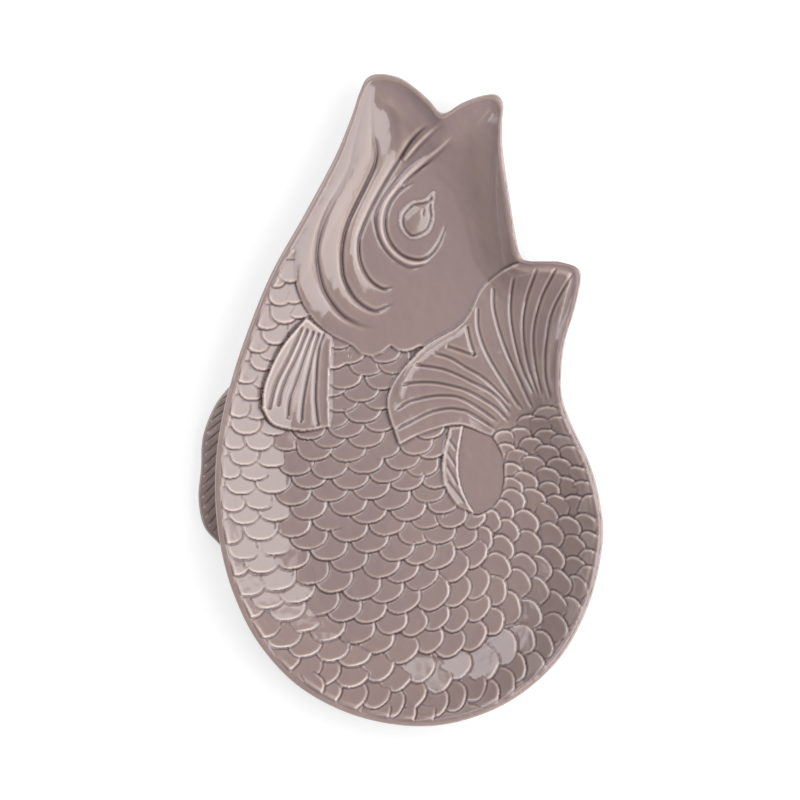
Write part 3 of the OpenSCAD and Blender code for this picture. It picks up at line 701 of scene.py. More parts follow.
# The grooves between the fins' rays, the tail's raised edge and the notch in it.
PECTORAL_GROOVES = [
    [[303, 325], [288, 358], [276, 382], [271, 400], [269, 410]],
    [[308, 327], [297, 355], [286, 378], [280, 395], [278, 407]],
    [[314, 329], [304.9, 353.7], [295.7, 381], [289, 400], [287, 420]],
    [[319, 331], [312.5, 353.7], [306, 381], [302, 405], [301, 424]],
    [[325, 330], [318, 350], [315.5, 380], [315, 400], [317, 420], [319, 426]],
]
TAIL_GROOVES = [
    [[395, 410], [410, 401], [430, 396], [445, 395], [460, 397], [477, 406], [500, 422]],
    [[396, 429], [410, 422], [430, 412], [448, 408], [460, 409], [470, 412], [498.6, 430]],
    [[400, 385], [415, 382], [435, 382], [455, 386], [470, 391], [495, 406], [511, 422]],
    [[413, 364], [430, 366], [445, 369], [460, 375], [470, 380], [495, 393.6], [512.9, 415]],
    [[433, 352], [450, 357], [465, 366], [486, 379], [512.9, 406]],
    [[478, 306], [479, 329], [487.9, 354], [503.9, 381], [523.6, 411]],
    [[494, 286], [495, 311], [505.7, 347], [521.8, 382.9], [534, 409.6]],
    [[514.6, 275.7], [511, 302.5], [512.9, 329], [521.8, 365], [536, 397]],
    [[537.9, 266.8], [527, 299], [523.6, 329], [528.9, 365], [539.6, 397]],
    [[557.5, 265.9], [541.4, 299], [534, 332.9], [536, 365], [543, 395]],
    [[575, 269.5], [553.9, 307.9], [546.8, 340], [545.9, 373.9], [552, 400.7]],
]
TAIL_EDGE = [[399.5, 402], [401, 389], [409, 371], [423, 354.5], [441, 341], [457, 332], [468, 324]]
TAIL_NOTCH = [[[446.8, 345.4], [461, 350], [475.4, 355]], [[475.4, 355], [471, 342], [467.3, 325.7]]]
BELLY_GROOVES = [
    [[448.6, 438], [459, 452.5]], [[446.8, 450.7], [459, 470]], [[445.9, 463], [459, 486.4]],
    [[446.8, 479.3], [466.4, 504.3]],
]


@dataclass(frozen=True)
class Stroke:
    """One pull of a modelling tool along a line: a groove where its depth is above zero, else a ridge.

    The bead is the height of a ridge that the tool throws up beside its groove, on the left of its way, or on
    the right where it is below zero.
    """

    points: Line
    depth: float
    width: float
    start_fade: float = 0.1
    end_fade: float = 0.1
    bead: float = 0.0


HEAD_STROKES = {
    "mouth line": Stroke([
        [440.7, 114.7], [423.8, 127.3], [411.2, 140], [400, 158.2], [387.4, 177.9], [373.3, 203.1],
        [362.1, 228.4], [358.6, 241], [359.3, 256.4], [362.8, 268], [369.5, 278.7], [377.5, 285.4],
        [385.5, 288.1], [396.2, 285.4],
    ], depth=1.25, width=0.6, start_fade=0.3, end_fade=0.1),
    "lip's outer ridge": Stroke([
        [444, 116], [433, 123.5], [421, 135.5], [411, 148.5], [404, 159],
    ], depth=-0.75, width=1.15, start_fade=0.05, end_fade=0.25),
    "lip's inner ridge": Stroke([
        [492, 97.5], [473, 103.5], [458, 110.5], [445, 119], [432, 129.5], [420, 141.5], [409, 154],
        [403, 162],
    ], depth=-0.45, width=0.8, start_fade=0.1, end_fade=0.25),
    "socket's upper ridge": Stroke([
        [454, 133], [440, 144.5], [425, 156], [410, 170], [397, 184], [388, 198],
    ], depth=-0.6, width=1.7, start_fade=0.15, end_fade=0.4),
    "pectoral fin's right ridge": Stroke([
        [330.5, 338], [329.5, 360], [328.5, 392], [329, 424],
    ], depth=-0.6, width=0.9, start_fade=0.1, end_fade=0.1),
    "first fold": Stroke([
        [370.3, 117.3], [374.5, 138.6], [376.6, 151.2], [374.5, 165.2], [367.5, 180.7], [353.5, 208.7],
        [347.9, 221.4], [343.7, 235.4], [341.5, 252.2], [342.7, 273.4], [348, 286.8], [354.7, 297.5],
        [364.1, 305.5], [374.8, 310.2], [385.5, 306.9], [398.9, 298.8],
    ], depth=1.1, width=0.75, start_fade=0.2, end_fade=0.12),
    "second fold": Stroke([
        [349.3, 159.4], [340.8, 186.3], [331, 203.1], [322.6, 222.8], [318.4, 238.2], [316.3, 256.4],
        [319.2, 273.4], [323.9, 289.5], [332, 302.9], [342.7, 314.9], [356.1, 322.9], [369.5, 326.3],
        [382.8, 322.9],
    ], depth=1.0, width=0.9, start_fade=0.35, end_fade=0.25),
    "crease over the eye": Stroke([
        [436, 156.8], [423.8, 165.2], [409.8, 176.5], [402, 185],
    ], depth=0.7, width=0.55, start_fade=0.4, end_fade=0.1),
    "socket's inner groove": Stroke([
        [418.2, 179.3], [407, 184.9], [398.6, 190.5], [390.2, 201.7], [385.9, 214.3], [385.2, 225.6],
        [387.4, 235.4], [393, 245.2], [401.4, 253.6], [411.2, 257.8], [422.4, 258.5], [430.8, 253.6],
        [439.3, 242.4], [444.9, 228.4], [447.7, 218.6],
    ], depth=1.0, width=0.6, start_fade=0.12, end_fade=0.2),
    "socket's outer groove": Stroke([
        [454.7, 128.8], [430, 145], [405, 168], [388, 188], [380.3, 200.3], [374.7, 212.9],
        [375.4, 225.6], [380.3, 241], [390.2, 255], [401.4, 263.4], [409.8, 267], [418.2, 265.6],
        [428, 262], [439.3, 250.8],
    ], depth=0.45, width=0.7, start_fade=0.4, end_fade=0.2),
    "eyeball's edge": Stroke([
        [432.6, 195], [430.6, 199], [426, 201.5], [412.7, 204.3], [403.5, 214.2], [403.5, 225.8],
        [412.7, 235], [426, 229.2], [431.2, 217.5], [430.4, 208], [430.6, 201],
    ], depth=0.7, width=0.4, start_fade=0.1, end_fade=0.1),
    "pupil": Stroke([
        [422.5, 211], [423.5, 211], [424.5, 211],
    ], depth=0.9, width=1.2, start_fade=0.01, end_fade=0.01),
    "lower jaw's swelling": Stroke([
        [378.7, 89.5], [397, 112], [403.3, 138.6], [400.5, 158],
    ], depth=-0.8, width=2.4, start_fade=0.2, end_fade=0.3),
}


# The relief

@dataclass
class Relief:
    """The relief over the dish: a height map of the clay and a map of which form each place belongs to."""

    chart: Chart
    dish: Dish
    softness: float = 0.38
    sink: float = 1.3
    under_body: float = 0.05
    least: float = 0.06
    cell: float = 0.56
    stroke_steps: int = 10
    stroke_reach: float = 5.0
    bead_place: float = 2.2
    rim_share: float = 0.3
    fade_from: float = -1.0
    scale_fade: float = 1.6
    fin_fade: float = 4.0
    form_fade: float = 13.0
    # Pool and shade: darker in hollows and grooves, as pooled glaze and painted shade, paler on crests where
    # the glaze runs thin.
    pool_and_shade_spread: float = 0.65
    pool_and_shade_depth: float = 0.24
    pool_and_shade_from: float = -1.2
    pool_and_shade_to: float = 0.2
    cover_spread: float = 0.7
    cover_share: float = 0.06
    loop_steps: int = 120
    border_steps: int = 4
    join_rounds: int = 6
    border_rounds: int = 8
    follow_rounds: int = 3
    heights: Array = field(init=False)
    zones: Array = field(init=False)
    fronts: Array = field(init=False)
    top: Array = field(init=False)
    slopes: list[Array] = field(init=False)
    pool: Array = field(init=False)
    net: Array = field(init=False)
    net_cells: Array = field(init=False)

    def __post_init__(self) -> None:
        """Starts with bare clay, and no scale in front of a fin."""
        self.heights = np.zeros(self.chart.shape)
        self.zones = np.zeros(self.chart.shape, int)
        self.fronts = np.zeros(self.chart.shape, bool)

    def lay(self, zone: Zone, mask: Array, heights: Array | float) -> None:
        """Puts a form on the map, over what lies there."""
        self.heights = np.where(mask, heights, self.heights)
        self.zones = np.where(mask, NUMBERS[zone], self.zones)

    def pull(self, stroke: Stroke) -> None:
        """Takes a groove out of the clay, or adds a ridge: depth times a bell curve of the distance to it.

        Args:
            stroke: The groove or ridge.
        """
        line = VIEW.at(along(stroke.points, np.linspace(0, 1, self.stroke_steps * len(stroke.points))))
        reach = self.stroke_reach * stroke.width
        low, high = line.min(0) - reach, line.max(0) + reach
        axes = zip((self.chart.x, self.chart.y), low, high)
        columns, rows = (np.nonzero((axis > least) & (axis < most))[0] for axis, least, most in axes)
        block = np.ix_(rows, columns)
        x, y = np.meshgrid(self.chart.x[columns], self.chart.y[rows])
        distance, side, share = measure(np.stack([x.ravel(), y.ravel()], 1), line)
        fade = ramp(share, -SMALL, max(stroke.start_fade, SMALL))
        fade *= ramp(1 - share, -SMALL, max(stroke.end_fade, SMALL))
        off_bead = distance * side * np.sign(stroke.bead) / stroke.width - self.bead_place
        carved = stroke.depth * np.exp(-0.5 * (distance / stroke.width) ** 2)
        carved = fade * (carved - abs(stroke.bead) * np.exp(-0.5 * off_bead**2))
        carved *= self.zones[block].ravel() > 0
        self.heights[block] -= carved.reshape(x.shape)

    def settle(self) -> None:
        """Cuts the relief to its field, lets the glaze round it off, and darkens its grooves as pooled glaze
        and painted shade.
        """
        chart, dish = self.chart, self.dish
        scaly = np.isin(self.zones, [NUMBERS[zone] for zone in SCALY])
        in_loop = chart.inside(closed_line(LOOP, self.loop_steps))
        covered = chart.inside(dish.band_line) & (self.zones > 0) & ~(scaly & in_loop)
        fade = np.where(scaly, self.scale_fade, self.form_fade)
        fade = np.where(self.zones == NUMBERS[Zone.TAIL_FIN], self.fin_fade, fade)
        share = np.where(scaly, self.rim_share, 0.0)
        full = mix(share, 1, ramp(dish.lip_gap, self.fade_from, fade))
        cut = np.where(covered, np.maximum(self.heights * full, self.least), 0)
        rounded = chart.soften(cut, self.softness)
        edge = chart.soften(covered.astype(float), self.softness)
        self.top = dish.heights + rounded - self.under_body * (1 - edge)
        self.slopes = np.gradient(self.top, chart.step)
        # Darker where the relief dips below its softened self, as pooled glaze and painted shade in the
        # grooves; paler on crests.
        pool = (chart.soften(rounded, self.pool_and_shade_spread) - rounded) / self.pool_and_shade_depth
        self.pool = np.clip(pool, -1, 1) * ramp(dish.lip_gap, self.pool_and_shade_from, self.pool_and_shade_to)
        near = chart.soften(covered.astype(float), self.cover_spread) > self.cover_share
        self.zones = np.where(near, grow(np.where(covered, self.zones, 0), self.border_steps), 0)

    def weave(self) -> None:
        """Lays a net of square meshes over the map and draws its threads onto the borders between forms.

        A corner on a border moves half way to the middle of its two neighbours along the border, again and
        again, and the corners round it follow by a share of the same move.
        """
        x = np.arange(-self.chart.half_x, self.chart.half_x, self.cell)
        y = np.arange(-self.chart.half_y, self.chart.half_y, self.cell)
        start = np.stack(np.meshgrid(x, y), -1)
        row, column = (np.rint(v).astype(int) for v in self.chart.cells(start[:-1, :-1] + self.cell / 2))
        self.net_cells = self.without_kisses(self.zones[row, column])
        padded = np.pad(self.net_cells, 1)
        rise = padded[:, :-1] != padded[:, 1:]
        run = padded[:-1] != padded[1:]
        linked = [way[..., None].astype(int) for way in (rise[1:], rise[:-1], run[:, 1:], run[:, :-1])]
        degree = sum(linked)
        place = start
        for _ in range(self.border_rounds):
            total = sum(spot * link for spot, link in zip(beside(place, "edge"), linked))
            place = np.where(degree == 2, mix(place, total / np.maximum(degree, 1), 0.5), place)
        move = place - start
        for _ in range(self.follow_rounds):
            move = np.where(degree > 0, move, sum(beside(move, "constant")) / 4)
        self.net = start + move

    def without_kisses(self, cells: Array) -> Array:
        """Joins meshes of one form that meet only at a corner, by giving the form the mesh between them.

        Args:
            cells: Which form each mesh of the net belongs to; it is changed in place.

        Returns:
            The same cells.
        """
        for _ in range(self.join_rounds):
            for number in NUMBERS.values():
                owned = cells == number
                a, b, c, d = owned[:-1, :-1], owned[:-1, 1:], owned[1:, :-1], owned[1:, 1:]
                cells[:-1, 1:][a & d & ~b & ~c] = number
                cells[:-1, :-1][b & c & ~a & ~d] = number
        return cells

    def cut_out(self, zone: Zone) -> bpy.types.Object:
        """Cuts one form out of the net as a closed slab: the relief on top, and a floor sunk in the dish.

        Args:
            zone: The form.

        Returns:
            The new piece.
        """
        rows, columns = self.net.shape[:2]
        j, i = np.nonzero(self.net_cells == NUMBERS[zone])
        first = j * columns + i
        used, quads = np.unique(
            np.stack([first, first + 1, first + columns + 1, first + columns], 1), return_inverse=True
        )
        quads = quads.reshape(-1, 4)
        count = len(used)
        place = self.net.reshape(-1, 2)[used]
        top = self.chart.sample(self.top, place)
        low = self.chart.sample(self.dish.heights, place) - self.sink
        edges = np.concatenate([quads[:, [k, (k + 1) % 4]] for k in range(4)])
        keys = edges.min(1) * count + edges.max(1)
        _, found, uses = np.unique(keys, return_index=True, return_counts=True)
        rim = edges[found[uses == 1]]
        sides = np.stack([rim[:, 1], rim[:, 0], rim[:, 0] + count, rim[:, 1] + count], 1)
        points = np.concatenate([np.column_stack([place, top]), np.column_stack([place, low])])
        slope_y, slope_x = (self.chart.sample(slope, place) for slope in self.slopes)
        up = np.column_stack([-slope_x, -slope_y, np.ones(count)])
        up /= np.linalg.norm(up, axis=1, keepdims=True)
        corners = np.concatenate([up[quads.ravel()], np.zeros((4 * (len(quads) + len(sides)), 3))])
        piece = make_piece(zone.value + "_glazed", points, [quads, quads[:, ::-1] + count, sides], corners)
        give_pool_and_shade(piece, np.tile(self.chart.sample(self.pool, place), 2))
        return piece

    def build(self, glaze: bpy.types.Material) -> None:
        """Makes and dresses a piece of each form, once all of them are laid.

        Args:
            glaze: The finish of all of them.
        """
        self.settle()
        self.weave()
        for zone in Zone:
            place_piece(self.cut_out(zone), zone.value, glaze)


@dataclass
class Scales:
    """Shingled scales: each a thin plate that rises to a rounded free edge, where the highest one shows."""

    chart: Chart
    height: float = 1.65
    root: float = 0.15
    length: float = 2.1
    tip: float = 0.85
    roundness: float = 2.3
    dome: float = 0.28
    lean: float = 0.22
    lift: float = 0.2
    lift_share: float = 0.45
    centre_share: float = 0.5
    flatness: float = 0.85
    probe: float = 2.0
    most_bend: float = 0.7
    groove: float = 0.5
    groove_steps: int = 2
    least_step: float = 0.08
    front_share: float = 0.5
    fill_share: float = 0.45
    grow_steps: int = 14
    seed: int = 7

    def bend(self, dish: Dish, middle: Array, x: Array, y: Array, block: tuple[slice, slice]) -> Array:
        """How far the dish curves away from the flat that touches it in one place.

        Args:
            dish: The dish.
            middle: Where the flat touches it.
            x: How far to its right each point of a block of the chart lies.
            y: How far above it each lies.
            block: The block's rows and columns.

        Returns:
            Heights of the dish over the flat, cut off at the most bend.
        """
        near = middle + self.probe * np.array([[0, 0], [1, 0], [-1, 0], [0, 1], [0, -1]])
        z, east, west, north, south = self.chart.sample(dish.heights, near)
        flat = z + (east - west) / (2 * self.probe) * x + (north - south) / (2 * self.probe) * y
        return np.clip(dish.heights[block] - flat, -self.most_bend, self.most_bend)

    def stamp(
        self, relief: Relief, owners: Array, number: int, scale: Array, chance: Array, over_fin: bool
    ) -> None:
        """Lays one scale on the relief, where it is higher than what is there.

        The free edge lies tip * half width * (1 - (1 - |u| ^ n) ^ (1 / n)) behind the tip, where u is the
        place across as a share of the half width. From there the plate falls straight to its root.

        Args:
            relief: The relief to lay it on.
            owners: The number of the scale that shows at each place, which this one is written into.
            number: Its own number.
            scale: Its tip in picture points, its turn from straight down in degrees, and its half width.
            chance: Three numbers from -1 to 1 for how far it leans, lifts and tips.
            over_fin: Whether its front stays above a fin that is laid later.
        """
        chart, middle = self.chart, VIEW.at(scale[:2])
        turn, half = np.radians(scale[2]), scale[3] * VIEW.width / VIEW.width_px
        row, column = (int(v) for v in chart.cells(middle))
        span = int(self.length * half / chart.step) + 2
        block = slice(max(row - span, 0), row + span), slice(max(column - span, 0), column + span)
        x, y = chart.x[None, block[1]] - middle[0], chart.y[block[0], None] - middle[1]
        u = (x * np.cos(turn) + y * np.sin(turn)) / half
        back = y * np.cos(turn) - x * np.sin(turn)
        b = np.clip(np.abs(u), 0, 1)
        edge = self.tip * half * (1 - (1 - b**self.roundness) ** (1 / self.roundness))
        way = (back - edge) / (self.length * half - edge)
        covered = (np.abs(u) < 1) & (way >= 0) & (way <= 1)
        way = np.clip(way, 0, 1)
        rise = mix(self.height + self.lift * chance[1], self.root, way) + self.dome * (1 - b * b)
        rise += (1 - way) * self.lean * chance[0] * u
        rise += self.lift * chance[2] * np.clip(way / self.lift_share, 0, 1)
        to_root = self.centre_share * half * np.array([-np.sin(turn), np.cos(turn)])
        bend = self.bend(relief.dish, middle + to_root, x - to_root[0], y - to_root[1], block)
        rise = np.maximum(rise - self.flatness * bend, self.root)
        relief.fronts[block] |= covered & (way < self.front_share) & over_fin
        shown = covered & (rise > relief.heights[block])
        relief.heights[block] = np.where(shown, rise, relief.heights[block])
        owners[block] = np.where(shown, number, owners[block])

    def lay(self, relief: Relief) -> None:
        """Puts the three fields of scales on the relief, over a thin layer of clay that fills their gaps.

        Args:
            relief: The relief to work on.
        """
        tables = [np.array(t, float) for t in (FLANK_SCALES, BELLY_SCALES, TAIL_SCALES)]
        scales = np.concatenate(tables)
        chances = np.random.default_rng(self.seed).uniform(-1, 1, (len(scales), 3))
        owners = np.zeros(relief.zones.shape, int)
        for k, (scale, chance) in enumerate(zip(scales, chances), 1):
            self.stamp(relief, owners, k, scale, chance, over_fin=k > len(scales) - len(TAIL_SCALES))
        filled = np.where(owners == 0, self.height * self.fill_share, relief.heights)
        relief.heights = self.grooved(filled, owners)
        numbers = np.repeat([0] + [NUMBERS[zone] for zone in SCALY], [1] + [len(t) for t in tables])
        relief.zones = grow(numbers[owners], self.grow_steps)

    def grooved(self, heights: Array, owners: Array) -> Array:
        """Cuts a narrow groove along each free edge, on the lower side of every border between two scales.

        Args:
            heights: Heights on the chart.
            owners: The number of the scale that shows at each place.

        Returns:
            The heights with the grooves in them.
        """
        cut = np.zeros(heights.shape, bool)
        for reach in range(1, self.groove_steps + 1):
            for shift, axis in SIDES:
                other, near = (np.roll(v, reach * shift, axis) for v in (owners, heights))
                cut |= (other != owners) & (near > heights + self.least_step)
        return heights - self.groove * cut


@dataclass
class Fins:
    """The pectoral fin, the tail fin and the belly fin: rounded rays with narrow grooves between them."""

    chart: Chart
    height: float = 2.0
    ray: float = 1.0
    tail_root: float = 0.9
    root_share: float = 0.4
    pectoral_low: float = 1.7
    pectoral_lean: float = 2.9
    pectoral_rise: float = 0.6
    valley: float = 0.25
    valley_width: float = 1.7
    samples: int = 900

    def comb(self, relief: Relief, grooves: list[Line], depth: float, width: float, bead: float) -> None:
        """Draws a fin's grooves: for each a wide shallow valley, and a narrow groove in it.

        Args:
            relief: The relief to work on.
            grooves: The grooves' lines in picture points.
            depth: How deep a groove is.
            width: How wide it is.
            bead: Height of the ridge beside it, as in a Stroke.
        """
        for line in grooves:
            relief.pull(Stroke(line, self.valley, self.valley_width))
            relief.pull(Stroke(line, depth, width, start_fade=0.04, end_fade=0.06, bead=bead))

    def lay_pectoral(self, relief: Relief) -> None:
        """Puts the pectoral fin on the relief, highest along its first edge.

        Args:
            relief: The relief to work on.
        """
        reached, across, out = self.chart.sweep(PECTORAL, self.samples, self.samples)
        heights = self.pectoral_low + self.pectoral_lean * (1 - np.clip(across, 0, 1))
        relief.lay(Zone.PECTORAL, reached, heights + self.pectoral_rise * np.clip(out, 0, 1))
        self.comb(relief, PECTORAL_GROOVES, depth=1.0, width=0.62, bead=0.12)

    def lay_tail(self, relief: Relief) -> None:
        """Puts the tail fin on the relief, over the head and the flank, and notches it between its lobes.

        Args:
            relief: The relief to work on.
        """
        reached, _, out = self.chart.sweep(TAIL, self.samples, self.samples)
        heights = mix(self.tail_root, self.height, ramp(out, 0, self.root_share))
        relief.lay(Zone.TAIL_FIN, reached & ~relief.fronts, heights + self.ray * np.clip(out, 0, 1))
        self.comb(relief, TAIL_GROOVES, depth=0.75, width=0.5, bead=-0.25)
        relief.pull(Stroke(TAIL_EDGE, depth=-0.6 * self.ray, width=1.2, start_fade=0.15, end_fade=0.15))
        for line in TAIL_NOTCH:
            relief.pull(Stroke(line, depth=0.9, width=0.55, start_fade=0.02, end_fade=0.02))

    def lay_belly(self, relief: Relief) -> None:
        """Puts the narrow belly fin on the relief, with a raised hem on both sides and slanting grooves.

        Args:
            relief: The relief to work on.
        """
        reached, _, _ = self.chart.sweep([BELLY_IN, BELLY_OUT], self.samples, self.samples)
        relief.lay(Zone.BELLY_FIN, reached, self.height)
        for line in (BELLY_IN, BELLY_OUT):
            relief.pull(Stroke(line, depth=-0.5 * self.ray, width=0.6, start_fade=0.05, end_fade=0.05))
        for line in BELLY_GROOVES:
            relief.pull(Stroke(line, depth=0.6 * self.ray, width=0.5))


@dataclass
class Head:
    """The head: the upper jaw with its lip and eye, the lower jaw, and the two folds of the gill cover."""

    chart: Chart
    height: float = 2.2
    fold: float = 1.7
    fold_roundness: float = 2.2
    fold_taper: Triple = (0.3, 0.25, 0.02)
    lip_ridge: float = 0.8
    eye_ring: float = 1.0
    socket_taper: tuple[float, float] = (0.12, 0.25)
    rim_share: float = 0.45
    eyeball: float = 1.4
    dome_width: float = 7.5
    lip_to: float = 0.5
    mouth_from: float = 0.15
    samples: int = 700
    outline_steps: int = 150
    lip_steps: int = 60
    mouth_steps: int = 30
    eye_steps: int = 12

    def lay_jaw(self, relief: Relief) -> None:
        """Puts the upper jaw on the relief: the cheek, what lies under the folds, and the scalloped neck.

        Args:
            relief: The relief to work on.
        """
        down = np.linspace(0, 1, self.outline_steps)
        nape = along(NAPE, down[::-1])
        cheek = [along(CHEEK, down), nape]
        whole = [
            along(HEAD_BACK, down), nape, along(LIP_OUT, np.linspace(0, self.lip_to, self.lip_steps)),
            along(MOUTH, np.linspace(self.mouth_from, 0, self.mouth_steps)),
        ]
        outlines = [np.concatenate(cheek), np.concatenate(whole), HEAD_SCALLOPS]
        jaw = np.any([self.chart.inside(VIEW.at(outline)) for outline in outlines], 0)
        relief.lay(Zone.UPPER_JAW, jaw, self.height)

    def lay_folds(self, relief: Relief) -> None:
        """Puts the gill cover and the lower jaw on the relief: crowned bands that fade at their ends.

        Args:
            relief: The relief to work on.
        """
        folds = ((Zone.GILL, HEAD_BACK, FOLD_2), (Zone.GILL, FOLD_2, FOLD_1), (Zone.LOWER_JAW, FOLD_1, MOUTH))
        for zone, *lines in folds:
            reached, way, across = self.chart.sweep(lines, 2 * self.samples, self.samples)
            crown = 1 - np.abs(2 * np.clip(across, 0, 1) - 1) ** self.fold_roundness
            relief.lay(zone, reached, self.height + self.fold * crown * taper(way, *self.fold_taper))

    def lay_ridges(self, relief: Relief) -> None:
        """Puts the lip and the eye's socket on the relief: round ridges, the socket's with faded ends.

        Args:
            relief: The relief to work on.
        """
        reached, _, across = self.chart.sweep([LIP_OUT, LIP_IN], 2 * self.samples, self.samples)
        relief.lay(Zone.LIP, reached, self.height + self.lip_ridge * hump(across))
        reached, way, across = self.chart.sweep([SOCKET_OUT, SOCKET_IN], 2 * self.samples, self.samples)
        ridge = self.eye_ring * hump(across) * taper(way, *self.socket_taper)
        relief.lay(Zone.SOCKET, reached, self.height + ridge)

    def lay_eye(self, relief: Relief) -> None:
        """Puts the eye on the relief: a flat rim, and a ball that rises by a quarter of a sine wave.

        Args:
            relief: The relief to work on.
        """
        rim, ball = (closed_line(points, self.eye_steps * len(points)) for points in (EYE_OUT, EYE_IN))
        relief.lay(Zone.EYE_RIM, self.chart.inside(rim), self.height + self.rim_share * self.eye_ring)
        inside = self.chart.inside(ball)
        gap = np.zeros(self.chart.shape)
        gap[inside] = measure(self.chart.spots()[inside.ravel()], np.vstack([ball, ball[:1]]))[0]
        dome = np.sin(np.pi / 2 * np.clip(gap / self.dome_width, 0, 1))
        relief.lay(Zone.EYEBALL, inside, self.height + self.eyeball * dome)

    def lay(self, relief: Relief) -> None:
        """Puts the head's forms on the relief, the upper jaw first and the eye last, and draws its lines.

        Args:
            relief: The relief to work on.
        """
        for step in (self.lay_jaw, self.lay_folds, self.lay_ridges, self.lay_eye):
            step(relief)
        for stroke in HEAD_STROKES.values():
            relief.pull(stroke)


@dataclass
class BackFin:
    """The back fin that stands out of the wall on the left: a sloping blade with slanting ribs."""

    dish: Dish
    cover: float = 2.8
    edge_height: float = 11.0
    thickness: float = 3.6
    rib: float = 1.0
    rib_middle: float = 0.35
    rib_sharpness: float = 5.0
    rib_from: tuple[float, float] = (0.3, 0.45)
    rib_stop: float = 0.12
    ribs: int = 17
    slant: float = 1.5
    end_share: float = 0.04
    most_round: float = 0.3
    groove_pool_and_shade: float = 0.5
    top_pool: float = -0.2
    stations: int = 300
    across: int = 26
    edge_rows: int = 6

    def blade(self) -> bpy.types.Object:
        """Carries a section from the fin's top end to its bottom end.

        The section runs out along the ribbed top, round the edge in a half circle, and back below. A rib is 1
        less a power of the distance from its middle, in a phase that slips as the section runs out.

        Returns:
            The new piece.
        """
        way, out = np.linspace(0, 1, self.stations)[:, None], np.linspace(0, 1, self.across)[None, :]
        inner, outer = VIEW.at(along(BACK_IN, way[:, 0])), VIEW.at(along(BACK_OUT, way[:, 0]))
        width = np.linalg.norm(outer - inner, axis=1)[:, None]
        round_share = np.clip(self.thickness / 2 / width, 0, self.most_round)
        reach = 1 - round_share
        phase = np.mod(self.ribs * way - self.slant * out, 1)
        ends = taper(way, self.end_share, self.end_share)
        groove = np.abs(2 * phase - 1) ** self.rib_sharpness * ends
        groove *= ramp(out, *self.rib_from) * ramp(1 - out, 0.0, self.rib_stop)
        root = self.dish.chart.sample(self.dish.heights, inner)[:, None] - self.cover
        base = mix(root, self.edge_height, out)
        angle = np.radians(np.linspace(90, -90, self.edge_rows + 2)[1:-1])[None, :]
        edge = self.edge_height - self.thickness / 2 * (1 - np.sin(angle))
        shares = np.concatenate([out * reach, reach + round_share * np.cos(angle), (out * reach)[:, ::-1]], 1)
        heights = np.concatenate([
            base + self.rib * (1 - groove - self.rib_middle) * ends,
            np.repeat(edge, self.stations, 0),
            (base - self.thickness)[:, ::-1],
        ], 1)
        places = mix(inner[:, None], outer[:, None], shares[..., None])
        points = np.concatenate([places, heights[..., None]], 2)
        rings, around = points.shape[:2]
        turn = np.arange(around)[None, :]
        faces = [tube_faces(rings, around)[:, ::-1], turn[:, ::-1], turn + (rings - 1) * around]
        piece = make_piece("back_fin_glazed", points.reshape(-1, 3), faces)
        # Darker in the grooves between the ribs, as pooled glaze and painted shade; the whole top a little
        # paler.
        pool = np.zeros((rings, around))
        pool[:, :self.across] = self.groove_pool_and_shade * groove + self.top_pool
        give_pool_and_shade(piece, pool.ravel())
        return piece

    def build(self, glaze: bpy.types.Material) -> None:
        """Makes and dresses the fin."""
        place_piece(self.blade(), "back_fin", glaze)


@dataclass
class Shell:
    """The dish's own skin and its bare foot."""

    dish: Dish
    foot_width: float = 5.0
    foot_chamfer: float = 0.5

    def body(self) -> bpy.types.Object:
        """The glazed shell: its rings, closed by a flat face at the floor and one below it.

        Returns:
            The new piece.
        """
        points, pool = self.dish.rings()
        rings, around = points.shape[:2]
        sides = tube_faces(rings, around)
        top = np.arange(around)[None, :]
        bottom = top[:, ::-1] + (rings - 1) * around
        corners = np.zeros((sides.size + 2 * around, 3))
        corners[sides.size:, 2] = np.repeat([1.0, -1.0], around)
        piece = make_piece("dish_glazed", points.reshape(-1, 3), [sides, top, bottom], corners)
        give_pool_and_shade(piece, pool)
        return piece

    def foot(self) -> bpy.types.Object:
        """The bare ring that it stands on: a square section with two small chamfers, carried round.

        Returns:
            The new piece.
        """
        dish, cut = self.dish, self.foot_chamfer
        top = dish.floor_height - dish.floor_thickness
        outer, inner = dish.reach, dish.reach + self.foot_width
        section = (outer, top), (outer, cut), (outer + cut, 0), (inner - cut, 0), (inner, cut), (inner, top)
        rings = [np.column_stack([dish.inward(r), np.full(len(dish.rim_line), z)]) for r, z in section]
        points = np.stack(rings)
        return make_piece("foot_bare", points.reshape(-1, 3), [tube_faces(*points.shape[:2], joined=True)])

    def build(self, glaze: bpy.types.Material, biscuit: bpy.types.Material) -> None:
        """Makes and dresses both pieces."""
        place_piece(self.body(), "platter_body", glaze)
        place_piece(self.foot(), "foot_ring", biscuit)


# Finishes

class Wire:
    """One value in a node tree; arithmetic on it adds Math nodes."""

    def __init__(self, board: "Board", socket: bpy.types.NodeSocket | None) -> None:
        """Keeps the socket that the value comes from."""
        self.board = board
        self.socket = socket

    def _math(self, operation: str, *values: "Wire | float") -> "Wire":
        """Adds one Math node."""
        return self.board.add("ShaderNodeMath", {"operation": operation}, dict(enumerate(values)))

    def __add__(self, other: "Wire | float") -> "Wire":
        """This plus the other."""
        return self._math("ADD", self, other)

    def __sub__(self, other: "Wire | float") -> "Wire":
        """This less the other."""
        return self._math("SUBTRACT", self, other)

    def __rsub__(self, other: float) -> "Wire":
        """The other less this."""
        return self._math("SUBTRACT", other, self)

    def __mul__(self, other: "Wire | float") -> "Wire":
        """This times the other."""
        return self._math("MULTIPLY", self, other)

    __radd__ = __add__
    __rmul__ = __mul__


